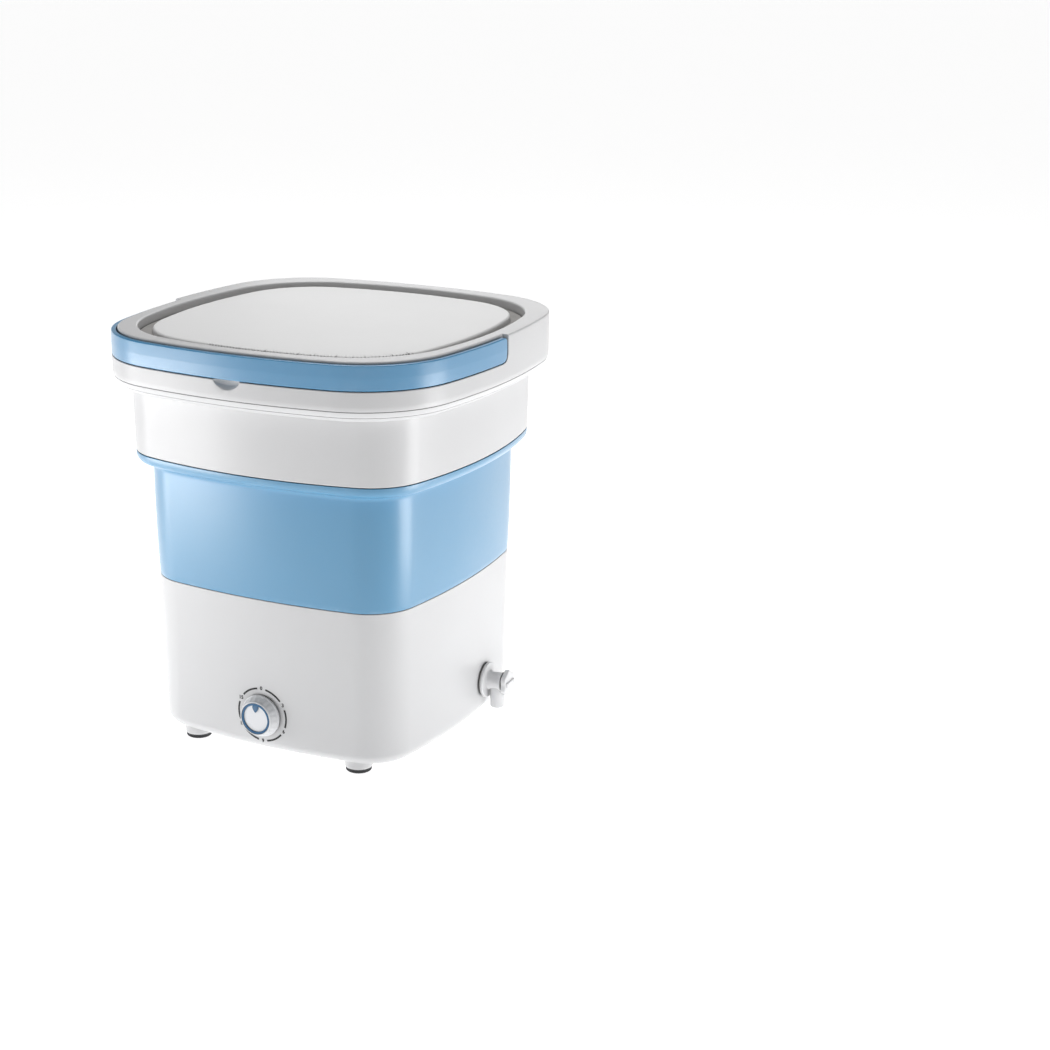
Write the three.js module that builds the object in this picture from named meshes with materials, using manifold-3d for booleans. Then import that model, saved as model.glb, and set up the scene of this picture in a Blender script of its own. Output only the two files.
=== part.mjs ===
// Portable mini washer with a fold-down tub. Millimetres, +Z up, front towards -Y, drain tap
// towards +X. The origin is the middle of the footprint, on the surface the feet stand on.
import * as THREE from 'three';
import { mergeVertices } from 'three/addons/utils/BufferGeometryUtils.js';
import Module from 'manifold-3d';

const wasm = await Module();
wasm.setup();

// ---------------------------------------------------------------- driving dimensions

const GAP = 0.4; // clearance between pieces that touch
const WALL = 3; // moulded plastic wall
const SIDE_STEPS = 2; // chords in half of a bowed side
const CORNER_STEPS = 5; // chords in a corner
const ROUND = 18; // chords in a circle
const SMALL = 10; // chords in a screw or its hole

// Heights of the stack, from the floor up.
const SHELL_BOTTOM = 8.8;
const SHELL_TOP = 138.6;
const TUB_FLOOR = 58.8;
const SKIRT_BOTTOM = 244.6;
const RIM_BOTTOM = 297.8;
const LEDGE = 323; // the handle rests on it
const LID_LEDGE = 334;
const TOP = 345;

// Half widths at those heights.
const SHELL_HALF = 123.2;
const SHELL_DRAFT = 0.023; // half width gained per millimetre of height
const SKIRT_HALF = 140.6;
const SKIRT_TOP_HALF = 141.8;
const RIM_HALF = 157.5;
const MOUTH_HALF = 142;
const LID_PANEL_HALF = 130;

const FILLET = 10; // lower edge of the base
const COVER_HALF = 84; // service cover under the base

// Handle: a band round the front half of the rim.
const BAND_THICK = 4.1;
const BAND_TOP = 343;
const BAND_END_Y = 0;
const INSET_HALF = 152.2; // rim wall behind the band
const BAND_END_R = { lower: 6, upper: 4 }; // corners at each end of the band
// High enough for the lower corner to pass over the ledge as the band swings.
const PIVOT_Z = BAND_TOP - 7;
const PIVOT_Y = BAND_END_Y - 7.4;
const RECESS_END_Y = BAND_END_Y + 1.7; // room for the upper corner
const RECESS_END_R = 7.4;

// Timer knob, centred on the front.
const KNOB_Z = 40;
const KNOB_DEPTH = 9;

// Drain tap, square to the bowed right side.
const TAP_Y = 40;
const TAP_Z = 38;
const HOSE_BEND = 12;
const TAP_PIPE_R = 7.5;
const SPIGOT_REACH = 22; // from the wall to the foot of the hose bend

// Drive train.
const SHAFT_R = 4;
const BORE_R = SHAFT_R + 0.15;
const GEAR_MODULE = 1.5;
const GEAR_TEETH = 36;
const PINION_TEETH = 12;
const CENTRES = (GEAR_MODULE * (GEAR_TEETH + PINION_TEETH)) / 2;
const GEAR_Z = 19;
const GEAR_THICK = 5;
const BRACKET_Z = 26.3;
const BRACKET_THICK = 2;
const POSTS = [[-44, -24], [44, -24], [0, 68]];

const FEET = { front_left: [-77, -99], front_right: [77, -99], rear_left: [-77, 99], rear_right: [77, 99] };
const COVER_SCREWS = [[-78.5, -40], [78.5, -40], [-78.5, 40], [78.5, 40]];

// ---------------------------------------------------------------- finishes

const finish = (color, roughness, metalness = 0) => ({ color, roughness, metalness });
const WHITE = finish(0xf1f2f3, 0.32);
const LID_WHITE = finish(0xe6e7e8, 0.38);
const BLUE = finish(0x8fbfdf, 0.4);
const BLUE_GLOSS = finish(0x86b7da, 0.28);
const BLUE_DEEP = finish(0x3c78a8, 0.35);
const RUBBER = finish(0x2b2c2e, 0.8);
const NATURAL = finish(0xe9e4d6, 0.5);
const GREY = finish(0x8d9196, 0.45);
const BLACK = finish(0x1c1d1f, 0.5);
const STEEL = finish(0xb9bcc0, 0.3, 1);
const BRASS = finish(0xc9a75a, 0.35, 1);
const BOARD = finish(0x2f6b45, 0.5);

// ---------------------------------------------------------------- solids and booleans

// Turns the faces outwards.
function outward(geometry) {
  const p = geometry.attributes.position;
  const index = geometry.index.array;
  const [a, b, c] = [new THREE.Vector3(), new THREE.Vector3(), new THREE.Vector3()];
  let volume = 0;
  for (let i = 0; i < index.length; i += 3) {
    [a, b, c].forEach((v, k) => v.fromBufferAttribute(p, index[i + k]));
    volume += a.dot(b.cross(c));
  }
  if (volume < 0) index.reverse();
  return geometry;
}

function toSolid(geometry) {
  const bare = geometry.clone();
  bare.deleteAttribute('normal');
  bare.deleteAttribute('uv');
  const merged = outward(mergeVertices(bare, 1e-3));
  return new wasm.Manifold(new wasm.Mesh({
    numProp: 3,
    vertProperties: new Float32Array(merged.attributes.position.array),
    triVerts: new Uint32Array(merged.index.array),
  }));
}

function toGeometry(solid) {
  const { vertProperties, triVerts } = solid.getMesh();
  return new THREE.BufferGeometry()
    .setAttribute('position', new THREE.BufferAttribute(vertProperties, 3))
    .setIndex(new THREE.BufferAttribute(triVerts, 1));
}

const join = (...pieces) => toGeometry(pieces.map(toSolid).reduce((a, b) => a.add(b)));
const cut = (body, ...tools) => toGeometry(tools.map(toSolid).reduce((a, b) => a.subtract(b), toSolid(body)));
const common = (a, b) => toGeometry(toSolid(a).intersect(toSolid(b)));

// ---------------------------------------------------------------- bowed square sections

// A square with bowed sides and round corners, kept as what stays the same when it is offset.
function section(halfWidth, sideRadius, cornerRadius) {
  return { bow: sideRadius - halfWidth, round: cornerRadius - halfWidth };
}

function mix(low, high, share) {
  return {
    bow: THREE.MathUtils.lerp(low.bow, high.bow, share),
    round: THREE.MathUtils.lerp(low.round, high.round, share),
  };
}

const BODY = section(SHELL_HALF, 565, 42);
const SKIRT = section(SKIRT_TOP_HALF, 398, 50);
const RIM = section(RIM_HALF, 505, 80.5);
const MOUTH = section(MOUTH_HALF, 360, 81);

// One loop of a section, anticlockwise from +X. Each quarter is half a side, a corner, half a side.
// Further in than its corners can be offset, a section only shrinks.
function outline({ bow, round }, halfWidth) {
  const offset = Math.max(halfWidth, -1.05 * round);
  const shrink = halfWidth / offset;
  const side = offset + bow;
  const corner = offset + round;
  const reach = side - corner;
  const middle = (Math.sqrt(2 * reach * reach - bow * bow) - bow) / 2;
  const swing = Math.atan2(middle, middle + bow);
  const quarter = [];
  const sweep = (x, y, radius, from, to, steps) => {
    for (let i = 0; i < steps; i += 1) {
      const angle = THREE.MathUtils.lerp(from, to, i / steps);
      quarter.push(new THREE.Vector2(x + radius * Math.cos(angle), y + radius * Math.sin(angle)));
    }
  };
  sweep(-bow, 0, side, 0, swing, SIDE_STEPS);
  sweep(middle, middle, corner, swing, Math.PI / 2 - swing, CORNER_STEPS);
  sweep(0, -bow, side, Math.PI / 2 - swing, Math.PI / 2, SIDE_STEPS);
  const origin = new THREE.Vector2();
  return [0, 1, 2, 3].flatMap((turn) => (
    quarter.map((p) => p.clone().multiplyScalar(shrink).rotateAround(origin, (turn * Math.PI) / 2))
  ));
}

// Points on an arc of an ellipse, in degrees, for use in a profile of [half width, height] pairs.
function arc(x, z, rx, rz, from, to, steps = 4) {
  return Array.from({ length: steps + 1 }, (_, i) => {
    const angle = THREE.MathUtils.degToRad(THREE.MathUtils.lerp(from, to, i / steps));
    return [x + rx * Math.cos(angle), z + rz * Math.sin(angle)];
  });
}

const on = (shape, points) => points.map(([halfWidth, z]) => ({ shape, halfWidth, z }));

// A profile carried round its sections. A closed profile makes a ring; an open one starts and
// ends on the axis and makes a plate.
function swept(profile, closed = true) {
  const loops = profile.map(({ shape, halfWidth, z }) => (
    outline(shape, halfWidth).map((p) => [p.x, p.y, z])
  ));
  const count = loops[0].length;
  const positions = loops.flat(2);
  const index = [];
  const rows = closed ? loops.length : loops.length - 1;
  for (let row = 0; row < rows; row += 1) {
    const next = (row + 1) % loops.length;
    for (let i = 0; i < count; i += 1) {
      const [a, b] = [row * count + i, row * count + ((i + 1) % count)];
      const [c, d] = [next * count + i, next * count + ((i + 1) % count)];
      index.push(a, b, d, a, d, c);
    }
  }
  if (!closed) {
    const middle = positions.length / 3;
    const last = (loops.length - 1) * count;
    positions.push(0, 0, profile[0].z, 0, 0, profile.at(-1).z);
    for (let i = 0; i < count; i += 1) {
      const j = (i + 1) % count;
      index.push(middle, j, i, middle + 1, last + i, last + j);
    }
  }
  const geometry = new THREE.BufferGeometry();
  geometry.setAttribute('position', new THREE.Float32BufferAttribute(positions, 3));
  geometry.setIndex(index);
  return outward(geometry);
}

const ring = (shape, inner, outer, low, high) => swept(on(shape, [
  [inner, low], [outer, low], [outer, high], [inner, high],
]));

// ---------------------------------------------------------------- round and boxed pieces

// Turned about Z from [radius, height] pairs; a ring repeats its first pair.
function turned(points, chords = ROUND) {
  const profile = points.map(([r, z]) => new THREE.Vector2(r, z));
  return outward(new THREE.LatheGeometry(profile, chords).rotateX(Math.PI / 2));
}

function rod(radius, low, high, chords = ROUND) {
  return turned([[0, low], [radius, low], [radius, high], [0, high]], chords);
}

function collar(inner, outer, low, high, chords = ROUND) {
  return turned([[inner, low], [outer, low], [outer, high], [inner, high], [inner, low]], chords);
}

function box(x, y, z) {
  const [[x0, x1], [y0, y1], [z0, z1]] = [x, y, z];
  return new THREE.BoxGeometry(x1 - x0, y1 - y0, z1 - z0)
    .translate((x0 + x1) / 2, (y0 + y1) / 2, (z0 + z1) / 2);
}

// Axis Z of a piece laid along +X, or along -Y, out of the front.
const alongX = (geometry) => geometry.rotateY(Math.PI / 2);
const outFront = (geometry) => geometry.rotateX(Math.PI / 2);
const outBack = (geometry) => geometry.rotateX(-Math.PI / 2);
// A piece for the right side (1) or its mirror image for the left (-1).
const sided = (geometry, side) => outward(geometry.scale(side, 1, 1));

function path(points) {
  return new THREE.CatmullRomCurve3(points.map((p) => new THREE.Vector3(...p)), false, 'centripetal');
}

// A round tube, solid or bored, along a curve.
function piped(curve, outer, inner, steps, chords) {
  const shape = new THREE.Shape().absarc(0, 0, outer, 0, 2 * Math.PI);
  if (inner) shape.holes.push(new THREE.Path().absarc(0, 0, inner, 0, 2 * Math.PI, true));
  return new THREE.ExtrudeGeometry(shape, { steps, extrudePath: curve, curveSegments: chords });
}

// A shape drawn in (y, z) and extruded along X.
function slab(shape, low, high) {
  const depth = high - low;
  const geometry = new THREE.ExtrudeGeometry(shape, { depth, bevelEnabled: false, curveSegments: 4 });
  const turn = new THREE.Matrix4().makeBasis(
    new THREE.Vector3(0, 1, 0),
    new THREE.Vector3(0, 0, 1),
    new THREE.Vector3(1, 0, 0),
  );
  return geometry.applyMatrix4(turn).translate(low, 0, 0);
}

// Pan-head screw with its head underneath, head height from `low`.
function screw(head, shank, low, headHeight, length) {
  return turned([
    [0, low], [head, low], [head, low + headHeight], [shank, low + headHeight],
    [shank, low + headHeight + length], [0, low + headHeight + length],
  ], SMALL);
}

// ---------------------------------------------------------------- placing

const shellHalf = (z) => SHELL_HALF - SHELL_DRAFT * (SHELL_TOP - z);
// How far a bowed side has fallen back from its middle, at a distance along it.
const fall = (shape, halfWidth, along) => {
  const radius = halfWidth + shape.bow;
  return radius - Math.sqrt(radius * radius - along * along);
};

const washer = new THREE.Group();
washer.name = 'portable_mini_washer';

function group(parent, [x, y, z] = [0, 0, 0]) {
  const made = new THREE.Group();
  made.position.set(x, y, z);
  parent.add(made);
  return made;
}

function place(parent, name, geometry, look) {
  const mesh = new THREE.Mesh(geometry, new THREE.MeshStandardMaterial(look));
  mesh.name = name;
  parent.add(mesh);
  return mesh;
}

const base = group(washer);
const upper = group(washer);

const WALL_AT_TAP = shellHalf(TAP_Z) - fall(BODY, shellHalf(TAP_Z), TAP_Y);
const TAP_TURN = Math.asin(TAP_Y / (shellHalf(TAP_Z) + BODY.bow));
const tap = group(base, [WALL_AT_TAP, TAP_Y, TAP_Z]);
tap.rotation.z = TAP_TURN;
// Where the tub drains: straight above the bend of the hose.
const DRAIN_REACH = SPIGOT_REACH + HOSE_BEND;
const DRAIN_X = WALL_AT_TAP - DRAIN_REACH * Math.cos(TAP_TURN);
const DRAIN_Y = TAP_Y - DRAIN_REACH * Math.sin(TAP_TURN);

const WALL_AT_KNOB = -shellHalf(KNOB_Z);
const BOARD_AT = [18.9, 20.5]; // behind the wall, front and back of the board
const dial = group(base, [0, WALL_AT_KNOB, KNOB_Z]);

const SOCKET_Z = 34;
const WALL_AT_SOCKET = shellHalf(SOCKET_Z);
const socket = group(base, [0, WALL_AT_SOCKET, SOCKET_Z]);

// ---------------------------------------------------------------- base housing

function baseShell() {
  const edge = SHELL_BOTTOM + FILLET;
  const turn = shellHalf(edge) - FILLET;
  const inner = FILLET - WALL;
  let body = swept(on(BODY, [
    [COVER_HALF + 0.6, SHELL_BOTTOM],
    ...arc(turn, edge, FILLET, FILLET, -90, 0),
    [SHELL_HALF, SHELL_TOP - 0.6],
    [SHELL_HALF - 0.6, SHELL_TOP],
    [SHELL_HALF - WALL, SHELL_TOP],
    ...arc(turn, edge, inner, inner, 0, -90, 3),
    [COVER_HALF + 4, SHELL_BOTTOM + WALL],
    [COVER_HALF + 4, SHELL_BOTTOM + 2 * WALL],
    [COVER_HALF - 8, SHELL_BOTTOM + 2 * WALL],
    [COVER_HALF - 8, SHELL_BOTTOM + WALL + GAP],
    [COVER_HALF + 0.6, SHELL_BOTTOM + WALL + GAP],
  ]));
  const bosses = [
    ...Object.values(FEET).map(([x, y]) => rod(11.5, 3.8, 20, 14).translate(x, y, 0)),
    ...COVER_SCREWS.map(([x, y]) => rod(4.5, SHELL_BOTTOM + WALL + GAP, 24, SMALL).translate(x, y, 0)),
  ];
  body = join(body, ...bosses);
  const holes = [
    ...Object.values(FEET).map(([x, y]) => rod(4.4, 0, 9.6, SMALL).translate(x, y, 0)),
    ...COVER_SCREWS.map(([x, y]) => rod(1.8, 0, 21, 6).translate(x, y, 0)),
    outFront(rod(5, -9, 9, 12)).translate(0, WALL_AT_KNOB, KNOB_Z),
    outBack(rod(5.9, -9, 9, 12)).translate(0, WALL_AT_SOCKET, SOCKET_Z),
    alongX(rod(TAP_PIPE_R + 0.5, -9, 9)).rotateZ(TAP_TURN).translate(WALL_AT_TAP, TAP_Y, TAP_Z),
  ];
  return cut(body, ...holes);
}

function bottomCover() {
  const low = SHELL_BOTTOM + 0.3;
  const plate = swept(on(BODY, [[COVER_HALF, low], [COVER_HALF, SHELL_BOTTOM + WALL]]), false);
  const holes = COVER_SCREWS.map(([x, y]) => rod(1.9, 0, 21, SMALL).translate(x, y, 0));
  const vents = [];
  for (const side of [-1, 1]) {
    for (let row = -2; row <= 2; row += 1) {
      const [x, y] = [side * 38, row * 9];
      vents.push(box([x - 16, x + 16], [y - 1.75, y + 1.75], [0, 20]));
    }
  }
  return cut(plate, ...holes, ...vents);
}

function foot() {
  return turned([[0, 0], [9.6, 0], [10.6, 1], [10.6, 3.5], [3.9, 3.5], [3.6, 9.2], [0, 9.2]], 14);
}

const TUB_OUTER = 116.5;
const TUB_FOOT = 114.5; // tub wall where its lower corner starts
const TUB_CORNER = 12;

function innerTub() {
  const low = TUB_FLOOR - WALL;
  const bend = low + TUB_CORNER;
  const flange = SHELL_TOP - 0.3;
  const inner = TUB_CORNER - WALL;
  let body = swept(on(BODY, [
    [SHELL_HALF - WALL - 0.6, flange],
    [SHELL_HALF - WALL - 0.6, flange - WALL],
    [TUB_OUTER, flange - WALL],
    ...arc(TUB_FOOT - TUB_CORNER, bend, TUB_CORNER, TUB_CORNER, 0, -90, 2),
    [16, low],
    [16, TUB_FLOOR],
    ...arc(TUB_FOOT - TUB_CORNER, bend, inner, inner, -90, 0, 2),
    [TUB_OUTER - WALL, flange],
  ]));
  body = join(
    body,
    collar(11.3, 24, low - 0.4, TUB_FLOOR + 0.4),
    collar(11.3, 14.3, 40, TUB_FLOOR),
    ...POSTS.map(([x, y]) => rod(5, BRACKET_Z + BRACKET_THICK + 0.3, low + 1, SMALL).translate(x, y, 0)),
    rod(TAP_PIPE_R, TAP_Z + HOSE_BEND + 0.4, low + 1).translate(DRAIN_X, DRAIN_Y, 0),
  );
  return cut(
    body,
    ...POSTS.map(([x, y]) => rod(1.8, 20, 40, 6).translate(x, y, 0)),
    rod(5, 30, 70, 12).translate(DRAIN_X, DRAIN_Y, 0),
  );
}

function bellows() {
  const low = SHELL_TOP + 0.3;
  const thick = 2.5;
  const neck = 231; // where the wall starts to flare to the skirt
  const neckHalf = 125.3;
  const flare = 6;
  const shoulder = 7;
  const shelf = neck + 4.6;
  const top = SKIRT_BOTTOM - 0.3;
  const outer = SKIRT_HALF - shoulder;
  const mixed = (points) => points.map(([halfWidth, z]) => {
    const share = THREE.MathUtils.clamp((halfWidth - neckHalf) / (SKIRT_HALF - neckHalf), 0, 1);
    return { shape: mix(BODY, SKIRT, share), halfWidth, z };
  });
  return swept([
    ...on(BODY, [[SHELL_HALF - 9, low], [SHELL_HALF, low]]),
    ...mixed([
      ...arc(neckHalf + flare, shelf - flare, flare, flare, 180, 90, 2),
      ...arc(outer, shelf + shoulder, shoulder, shoulder, -90, 0, 3),
      [SKIRT_HALF, top],
      [SKIRT_HALF - WALL, top],
      ...arc(outer, shelf + shoulder, shoulder - thick, shoulder - thick, 0, -90, 2),
      ...arc(neckHalf + flare, shelf - flare, flare + thick, flare + thick, 90, 180, 2),
    ]),
    ...on(BODY, [[SHELL_HALF - thick, low + thick], [SHELL_HALF - 9, low + thick]]),
  ]);
}

place(base, 'base_shell', baseShell(), WHITE);
place(base, 'bottom_cover', bottomCover(), WHITE);
place(base, 'inner_tub', innerTub(), WHITE);
place(base, 'bellows', bellows(), BLUE);
for (const [corner, [x, y]] of Object.entries(FEET)) {
  place(base, `foot_${corner}`, foot(), RUBBER).position.set(x, y, 0);
}
COVER_SCREWS.forEach(([x, y], i) => {
  const low = SHELL_BOTTOM - 2.2;
  place(base, `cover_screw_${i + 1}`, screw(3.2, 1.4, low, 2.2, 10), STEEL).position.set(x, y, 0);
});

// ---------------------------------------------------------------- drive

// A spur gear whose flanks are straight between root and tip. `phase` turns it, in teeth.
function gear(teeth, bore, phase) {
  const pitch = (GEAR_MODULE * teeth) / 2;
  const [tip, root] = [pitch + 0.9 * GEAR_MODULE, pitch - 1.2 * GEAR_MODULE];
  const step = (2 * Math.PI) / teeth;
  const shape = new THREE.Shape();
  const points = [];
  for (let tooth = 0; tooth < teeth; tooth += 1) {
    const middle = (tooth + phase) * step;
    for (const [radius, share] of [[root, -0.3], [tip, -0.12], [tip, 0.12], [root, 0.3]]) {
      const angle = middle + share * step;
      points.push(new THREE.Vector2(radius * Math.cos(angle), radius * Math.sin(angle)));
    }
  }
  shape.setFromPoints(points);
  shape.holes.push(new THREE.Path().absarc(0, 0, bore, 0, 2 * Math.PI, true));
  return new THREE.ExtrudeGeometry(shape, { depth: GEAR_THICK, bevelEnabled: false, curveSegments: 6 })
    .translate(0, 0, GEAR_Z);
}

const IMPELLER_Z = TUB_FLOOR + 1.2;
const SHAFT_TOP = IMPELLER_Z + 7;
const VANES = 6;

function impeller() {
  const disc = turned([
    [BORE_R, IMPELLER_Z], [80, IMPELLER_Z], [80.5, IMPELLER_Z + 1.5], [78, IMPELLER_Z + 3.5],
    [24, IMPELLER_Z + 5], [15, IMPELLER_Z + 11], [9, IMPELLER_Z + 13], [6.4, IMPELLER_Z + 13],
    [6.4, IMPELLER_Z + 10], [2.3, IMPELLER_Z + 10], [2.3, SHAFT_TOP + 0.3], [BORE_R, SHAFT_TOP + 0.3],
    [BORE_R, IMPELLER_Z],
  ], 24);
  const profile = new THREE.Shape();
  profile.moveTo(14, IMPELLER_Z + 3);
  profile.lineTo(75, IMPELLER_Z + 2.5);
  profile.lineTo(72, IMPELLER_Z + 9);
  profile.quadraticCurveTo(58, IMPELLER_Z + 14, 40, IMPELLER_Z + 12);
  profile.lineTo(14, IMPELLER_Z + 10);
  const vanes = [];
  for (let i = 0; i < VANES; i += 1) {
    vanes.push(slab(profile, -3, 3).rotateZ((i * 2 * Math.PI) / VANES));
  }
  return join(disc, ...vanes);
}

function driveShaft() {
  return turned([
    [0, GEAR_Z - 0.6], [SHAFT_R, GEAR_Z - 0.6], [SHAFT_R, SHAFT_TOP], [2.1, SHAFT_TOP],
    [2.1, SHAFT_TOP - 12], [0, SHAFT_TOP - 12],
  ]);
}

function motorCase() {
  const low = BRACKET_Z + BRACKET_THICK + 0.4;
  const holes = [-9, 9].map((x) => rod(1.7, 0, 32.5, SMALL).translate(x, 0, 0));
  return cut(turned([
    [0, 34.5], [1.9, 34.5], [1.9, BRACKET_Z + 0.1], [6, BRACKET_Z + 0.1], [6, low], [17, low],
    [18.5, low + 1.5], [18.5, 51], [17.5, 52], [7, 52], [7, 54], [0, 54],
  ]), ...holes).translate(0, CENTRES, 0);
}

function motorBracket() {
  const high = BRACKET_Z + BRACKET_THICK;
  const arm = ([x, y]) => {
    const length = Math.hypot(x, y);
    return box([0, length], [-7, 7], [BRACKET_Z, high]).rotateZ(Math.atan2(y, x));
  };
  const plate = join(
    rod(33, BRACKET_Z, high),
    rod(24, BRACKET_Z, high).translate(0, CENTRES, 0),
    ...POSTS.map(arm),
    ...POSTS.map(([x, y]) => rod(7, BRACKET_Z, high, 12).translate(x, y, 0)),
  );
  return cut(
    plate,
    rod(6.4, 0, 40),
    rod(6.4, 0, 40).translate(0, CENTRES, 0),
    ...[-9, 9].map((x) => rod(1.7, 0, 40, SMALL).translate(x, CENTRES, 0)),
    ...POSTS.map(([x, y]) => rod(1.8, 0, 40, SMALL).translate(x, y, 0)),
  );
}

function gearCover() {
  const low = GEAR_Z - 2.6;
  const high = BRACKET_Z - 0.3;
  const outer = join(rod(32.8, low, high), rod(15.6, low, high).translate(0, CENTRES, 0));
  return cut(outer, rod(30.6, low + 1.6, 40), rod(13.4, low + 1.6, 40).translate(0, CENTRES, 0));
}

const drive = group(washer);
place(drive, 'impeller', impeller(), BLUE_GLOSS);
place(drive, 'impeller_screw', turned([
  [0, SHAFT_TOP - 9], [1.9, SHAFT_TOP - 9], [1.9, IMPELLER_Z + 10.3], [5.6, IMPELLER_Z + 10.3],
  [5.6, IMPELLER_Z + 12.4], [4, IMPELLER_Z + 13.2], [0, IMPELLER_Z + 13.2],
], 12), STEEL);
place(drive, 'drive_shaft', driveShaft(), STEEL);
place(drive, 'drive_gear', gear(GEAR_TEETH, SHAFT_R + 0.2, 0), NATURAL);

const rotor = group(washer, [0, CENTRES, 0]);
place(rotor, 'motor_pinion', gear(PINION_TEETH, 1.8, 0.5), BRASS);
place(rotor, 'motor_shaft', rod(1.5, GEAR_Z - 0.5, 34, SMALL), STEEL);

place(base, 'motor_case', motorCase(), GREY);
place(base, 'motor_bracket', motorBracket(), STEEL);
place(base, 'gear_cover', gearCover(), BLACK);
place(base, 'shaft_bush', turned([
  [BORE_R, 25], [6, 25], [6, BRACKET_Z + BRACKET_THICK + 0.3], [8.5, BRACKET_Z + BRACKET_THICK + 0.3],
  [8.5, 30.2], [BORE_R, 30.2], [BORE_R, 25],
]), BRASS);
place(base, 'shaft_bearing', collar(BORE_R, 11, 41, 49), STEEL);
place(base, 'shaft_seal', collar(BORE_R, 11, 50, 57), RUBBER);
[-9, 9].forEach((x, i) => {
  place(base, `motor_screw_${i + 1}`, screw(2.5, 1.3, 24.4, 1.6, 5.5), STEEL).position.set(x, CENTRES, 0);
});
POSTS.forEach(([x, y], i) => {
  place(base, `bracket_screw_${i + 1}`, screw(3, 1.4, 24, 2, 12), STEEL).position.set(x, y, 0);
});

// ---------------------------------------------------------------- drain

function drainHose() {
  const bend = new THREE.CurvePath();
  const foot = new THREE.Vector3(-SPIGOT_REACH, 0, 0);
  const head = new THREE.Vector3(-DRAIN_REACH, 0, HOSE_BEND);
  const corner = new THREE.Vector3(-DRAIN_REACH, 0, 0);
  const pull = 0.5523; // a cubic with this pull is a quarter circle
  bend.add(new THREE.LineCurve3(head.clone().setZ(TUB_FLOOR - WALL - GAP - TAP_Z), head));
  bend.add(new THREE.CubicBezierCurve3(
    head,
    head.clone().lerp(corner, pull),
    foot.clone().lerp(corner, pull),
    foot,
  ));
  bend.add(new THREE.LineCurve3(foot, new THREE.Vector3(-10.5, 0, 0)));
  return piped(bend, TAP_PIPE_R + 2.5, TAP_PIPE_R + 0.6, 9, 6);
}

function tapBody() {
  const barrel = 17;
  const outside = join(
    alongX(rod(TAP_PIPE_R, -SPIGOT_REACH + 0.6, barrel)),
    alongX(turned([[0, 2.1], [15, 2.1], [15, 3.9], [14.2, 4.6], [0, 4.6]], 24)),
    rod(6.2, -TAP_Z + 15.5, 0, 16).translate(12, 0, 0),
  );
  return cut(
    outside,
    alongX(rod(4.6, -SPIGOT_REACH - 1, 6, 12)),
    alongX(rod(5.6, 5.5, barrel + 3)),
    rod(4.4, -TAP_Z, 0, 12).translate(12, 0, 0),
  );
}

// A cored plug; its side port faces forwards while the tap is shut.
function tapPlug() {
  return cut(
    alongX(rod(5.3, 6.4, 21)),
    alongX(rod(3, 6, 14.5, SMALL)),
    outFront(rod(3, 0, 9, SMALL)).translate(12, 0, 0),
  );
}

function tapHandle() {
  const lobes = 6;
  const shape = new THREE.Shape();
  const points = [];
  for (let i = 0; i < lobes * 4; i += 1) {
    const angle = (i * 2 * Math.PI) / (lobes * 4);
    const radius = 10.6 + 0.8 * Math.cos(lobes * angle);
    points.push(new THREE.Vector2(radius * Math.cos(angle), radius * Math.sin(angle)));
  }
  shape.setFromPoints(points);
  const disc = new THREE.ExtrudeGeometry(shape, { depth: 4.4, bevelEnabled: false }).translate(0, 0, 18.6);
  const solid = join(disc, box([-2, 2], [-8.5, 8.5], [22, 24.6]));
  return alongX(cut(solid, rod(5.6, 17, 21.3)));
}

function hexNut(radius, bore, low, high) {
  return cut(rod(radius, low, high, 6), rod(bore, low - 1, high + 1, 12));
}

place(tap, 'drain_hose', drainHose(), RUBBER);
place(tap, 'tap_body', tapBody(), WHITE);
place(tap, 'tap_seal', alongX(collar(TAP_PIPE_R + 0.4, 13.6, 0.8, 1.8)), RUBBER);
place(tap, 'tap_nut', alongX(hexNut(11.8, TAP_PIPE_R + 0.5, -9, -4.6)), WHITE);
const tapValve = group(tap);
place(tapValve, 'tap_plug', tapPlug(), NATURAL);
place(tapValve, 'tap_handle', tapHandle(), WHITE);

// ---------------------------------------------------------------- timer and power

function timerSwitch() {
  const inside = -WALL - 1.4;
  const casing = box([-13, 13], [-inside, -inside + 14], [-12, 12]);
  const bushing = outFront(rod(4.5, inside - 1, 2.6, 12));
  return cut(join(casing, bushing), outFront(rod(3.3, -14, 4, 12)));
}

function knob() {
  const front = KNOB_DEPTH + 1.4;
  return outFront(turned([
    [0, front - 1.8], [13.3, front - 1.8], [13.3, front], [13.9, front], [14.4, front - 1.2],
    [17, 3.4], [17.6, 1.4], [15.2, 1.4], [12.4, front - 4.6], [5.6, front - 4.6], [5.6, 3.2],
    [3.3, 3.2], [3.3, front - 3.8], [0, front - 3.8],
  ]));
}

function knobRing() {
  const [low, high] = [KNOB_DEPTH + 0.6, KNOB_DEPTH + 1.2];
  const pointer = new THREE.Shape();
  pointer.moveTo(0, 5.2);
  pointer.quadraticCurveTo(2.9, 8, 2.6, 10.2);
  pointer.lineTo(1.8, 11.9);
  pointer.lineTo(-1.8, 11.9);
  pointer.lineTo(-2.6, 10.2);
  pointer.quadraticCurveTo(-2.9, 8, 0, 5.2);
  const depth = high - low;
  const drop = new THREE.ExtrudeGeometry(pointer, { depth, bevelEnabled: false, curveSegments: 4 })
    .translate(0, 0, low);
  return outFront(join(collar(11.2, 13, low, high, 24), drop));
}

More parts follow.
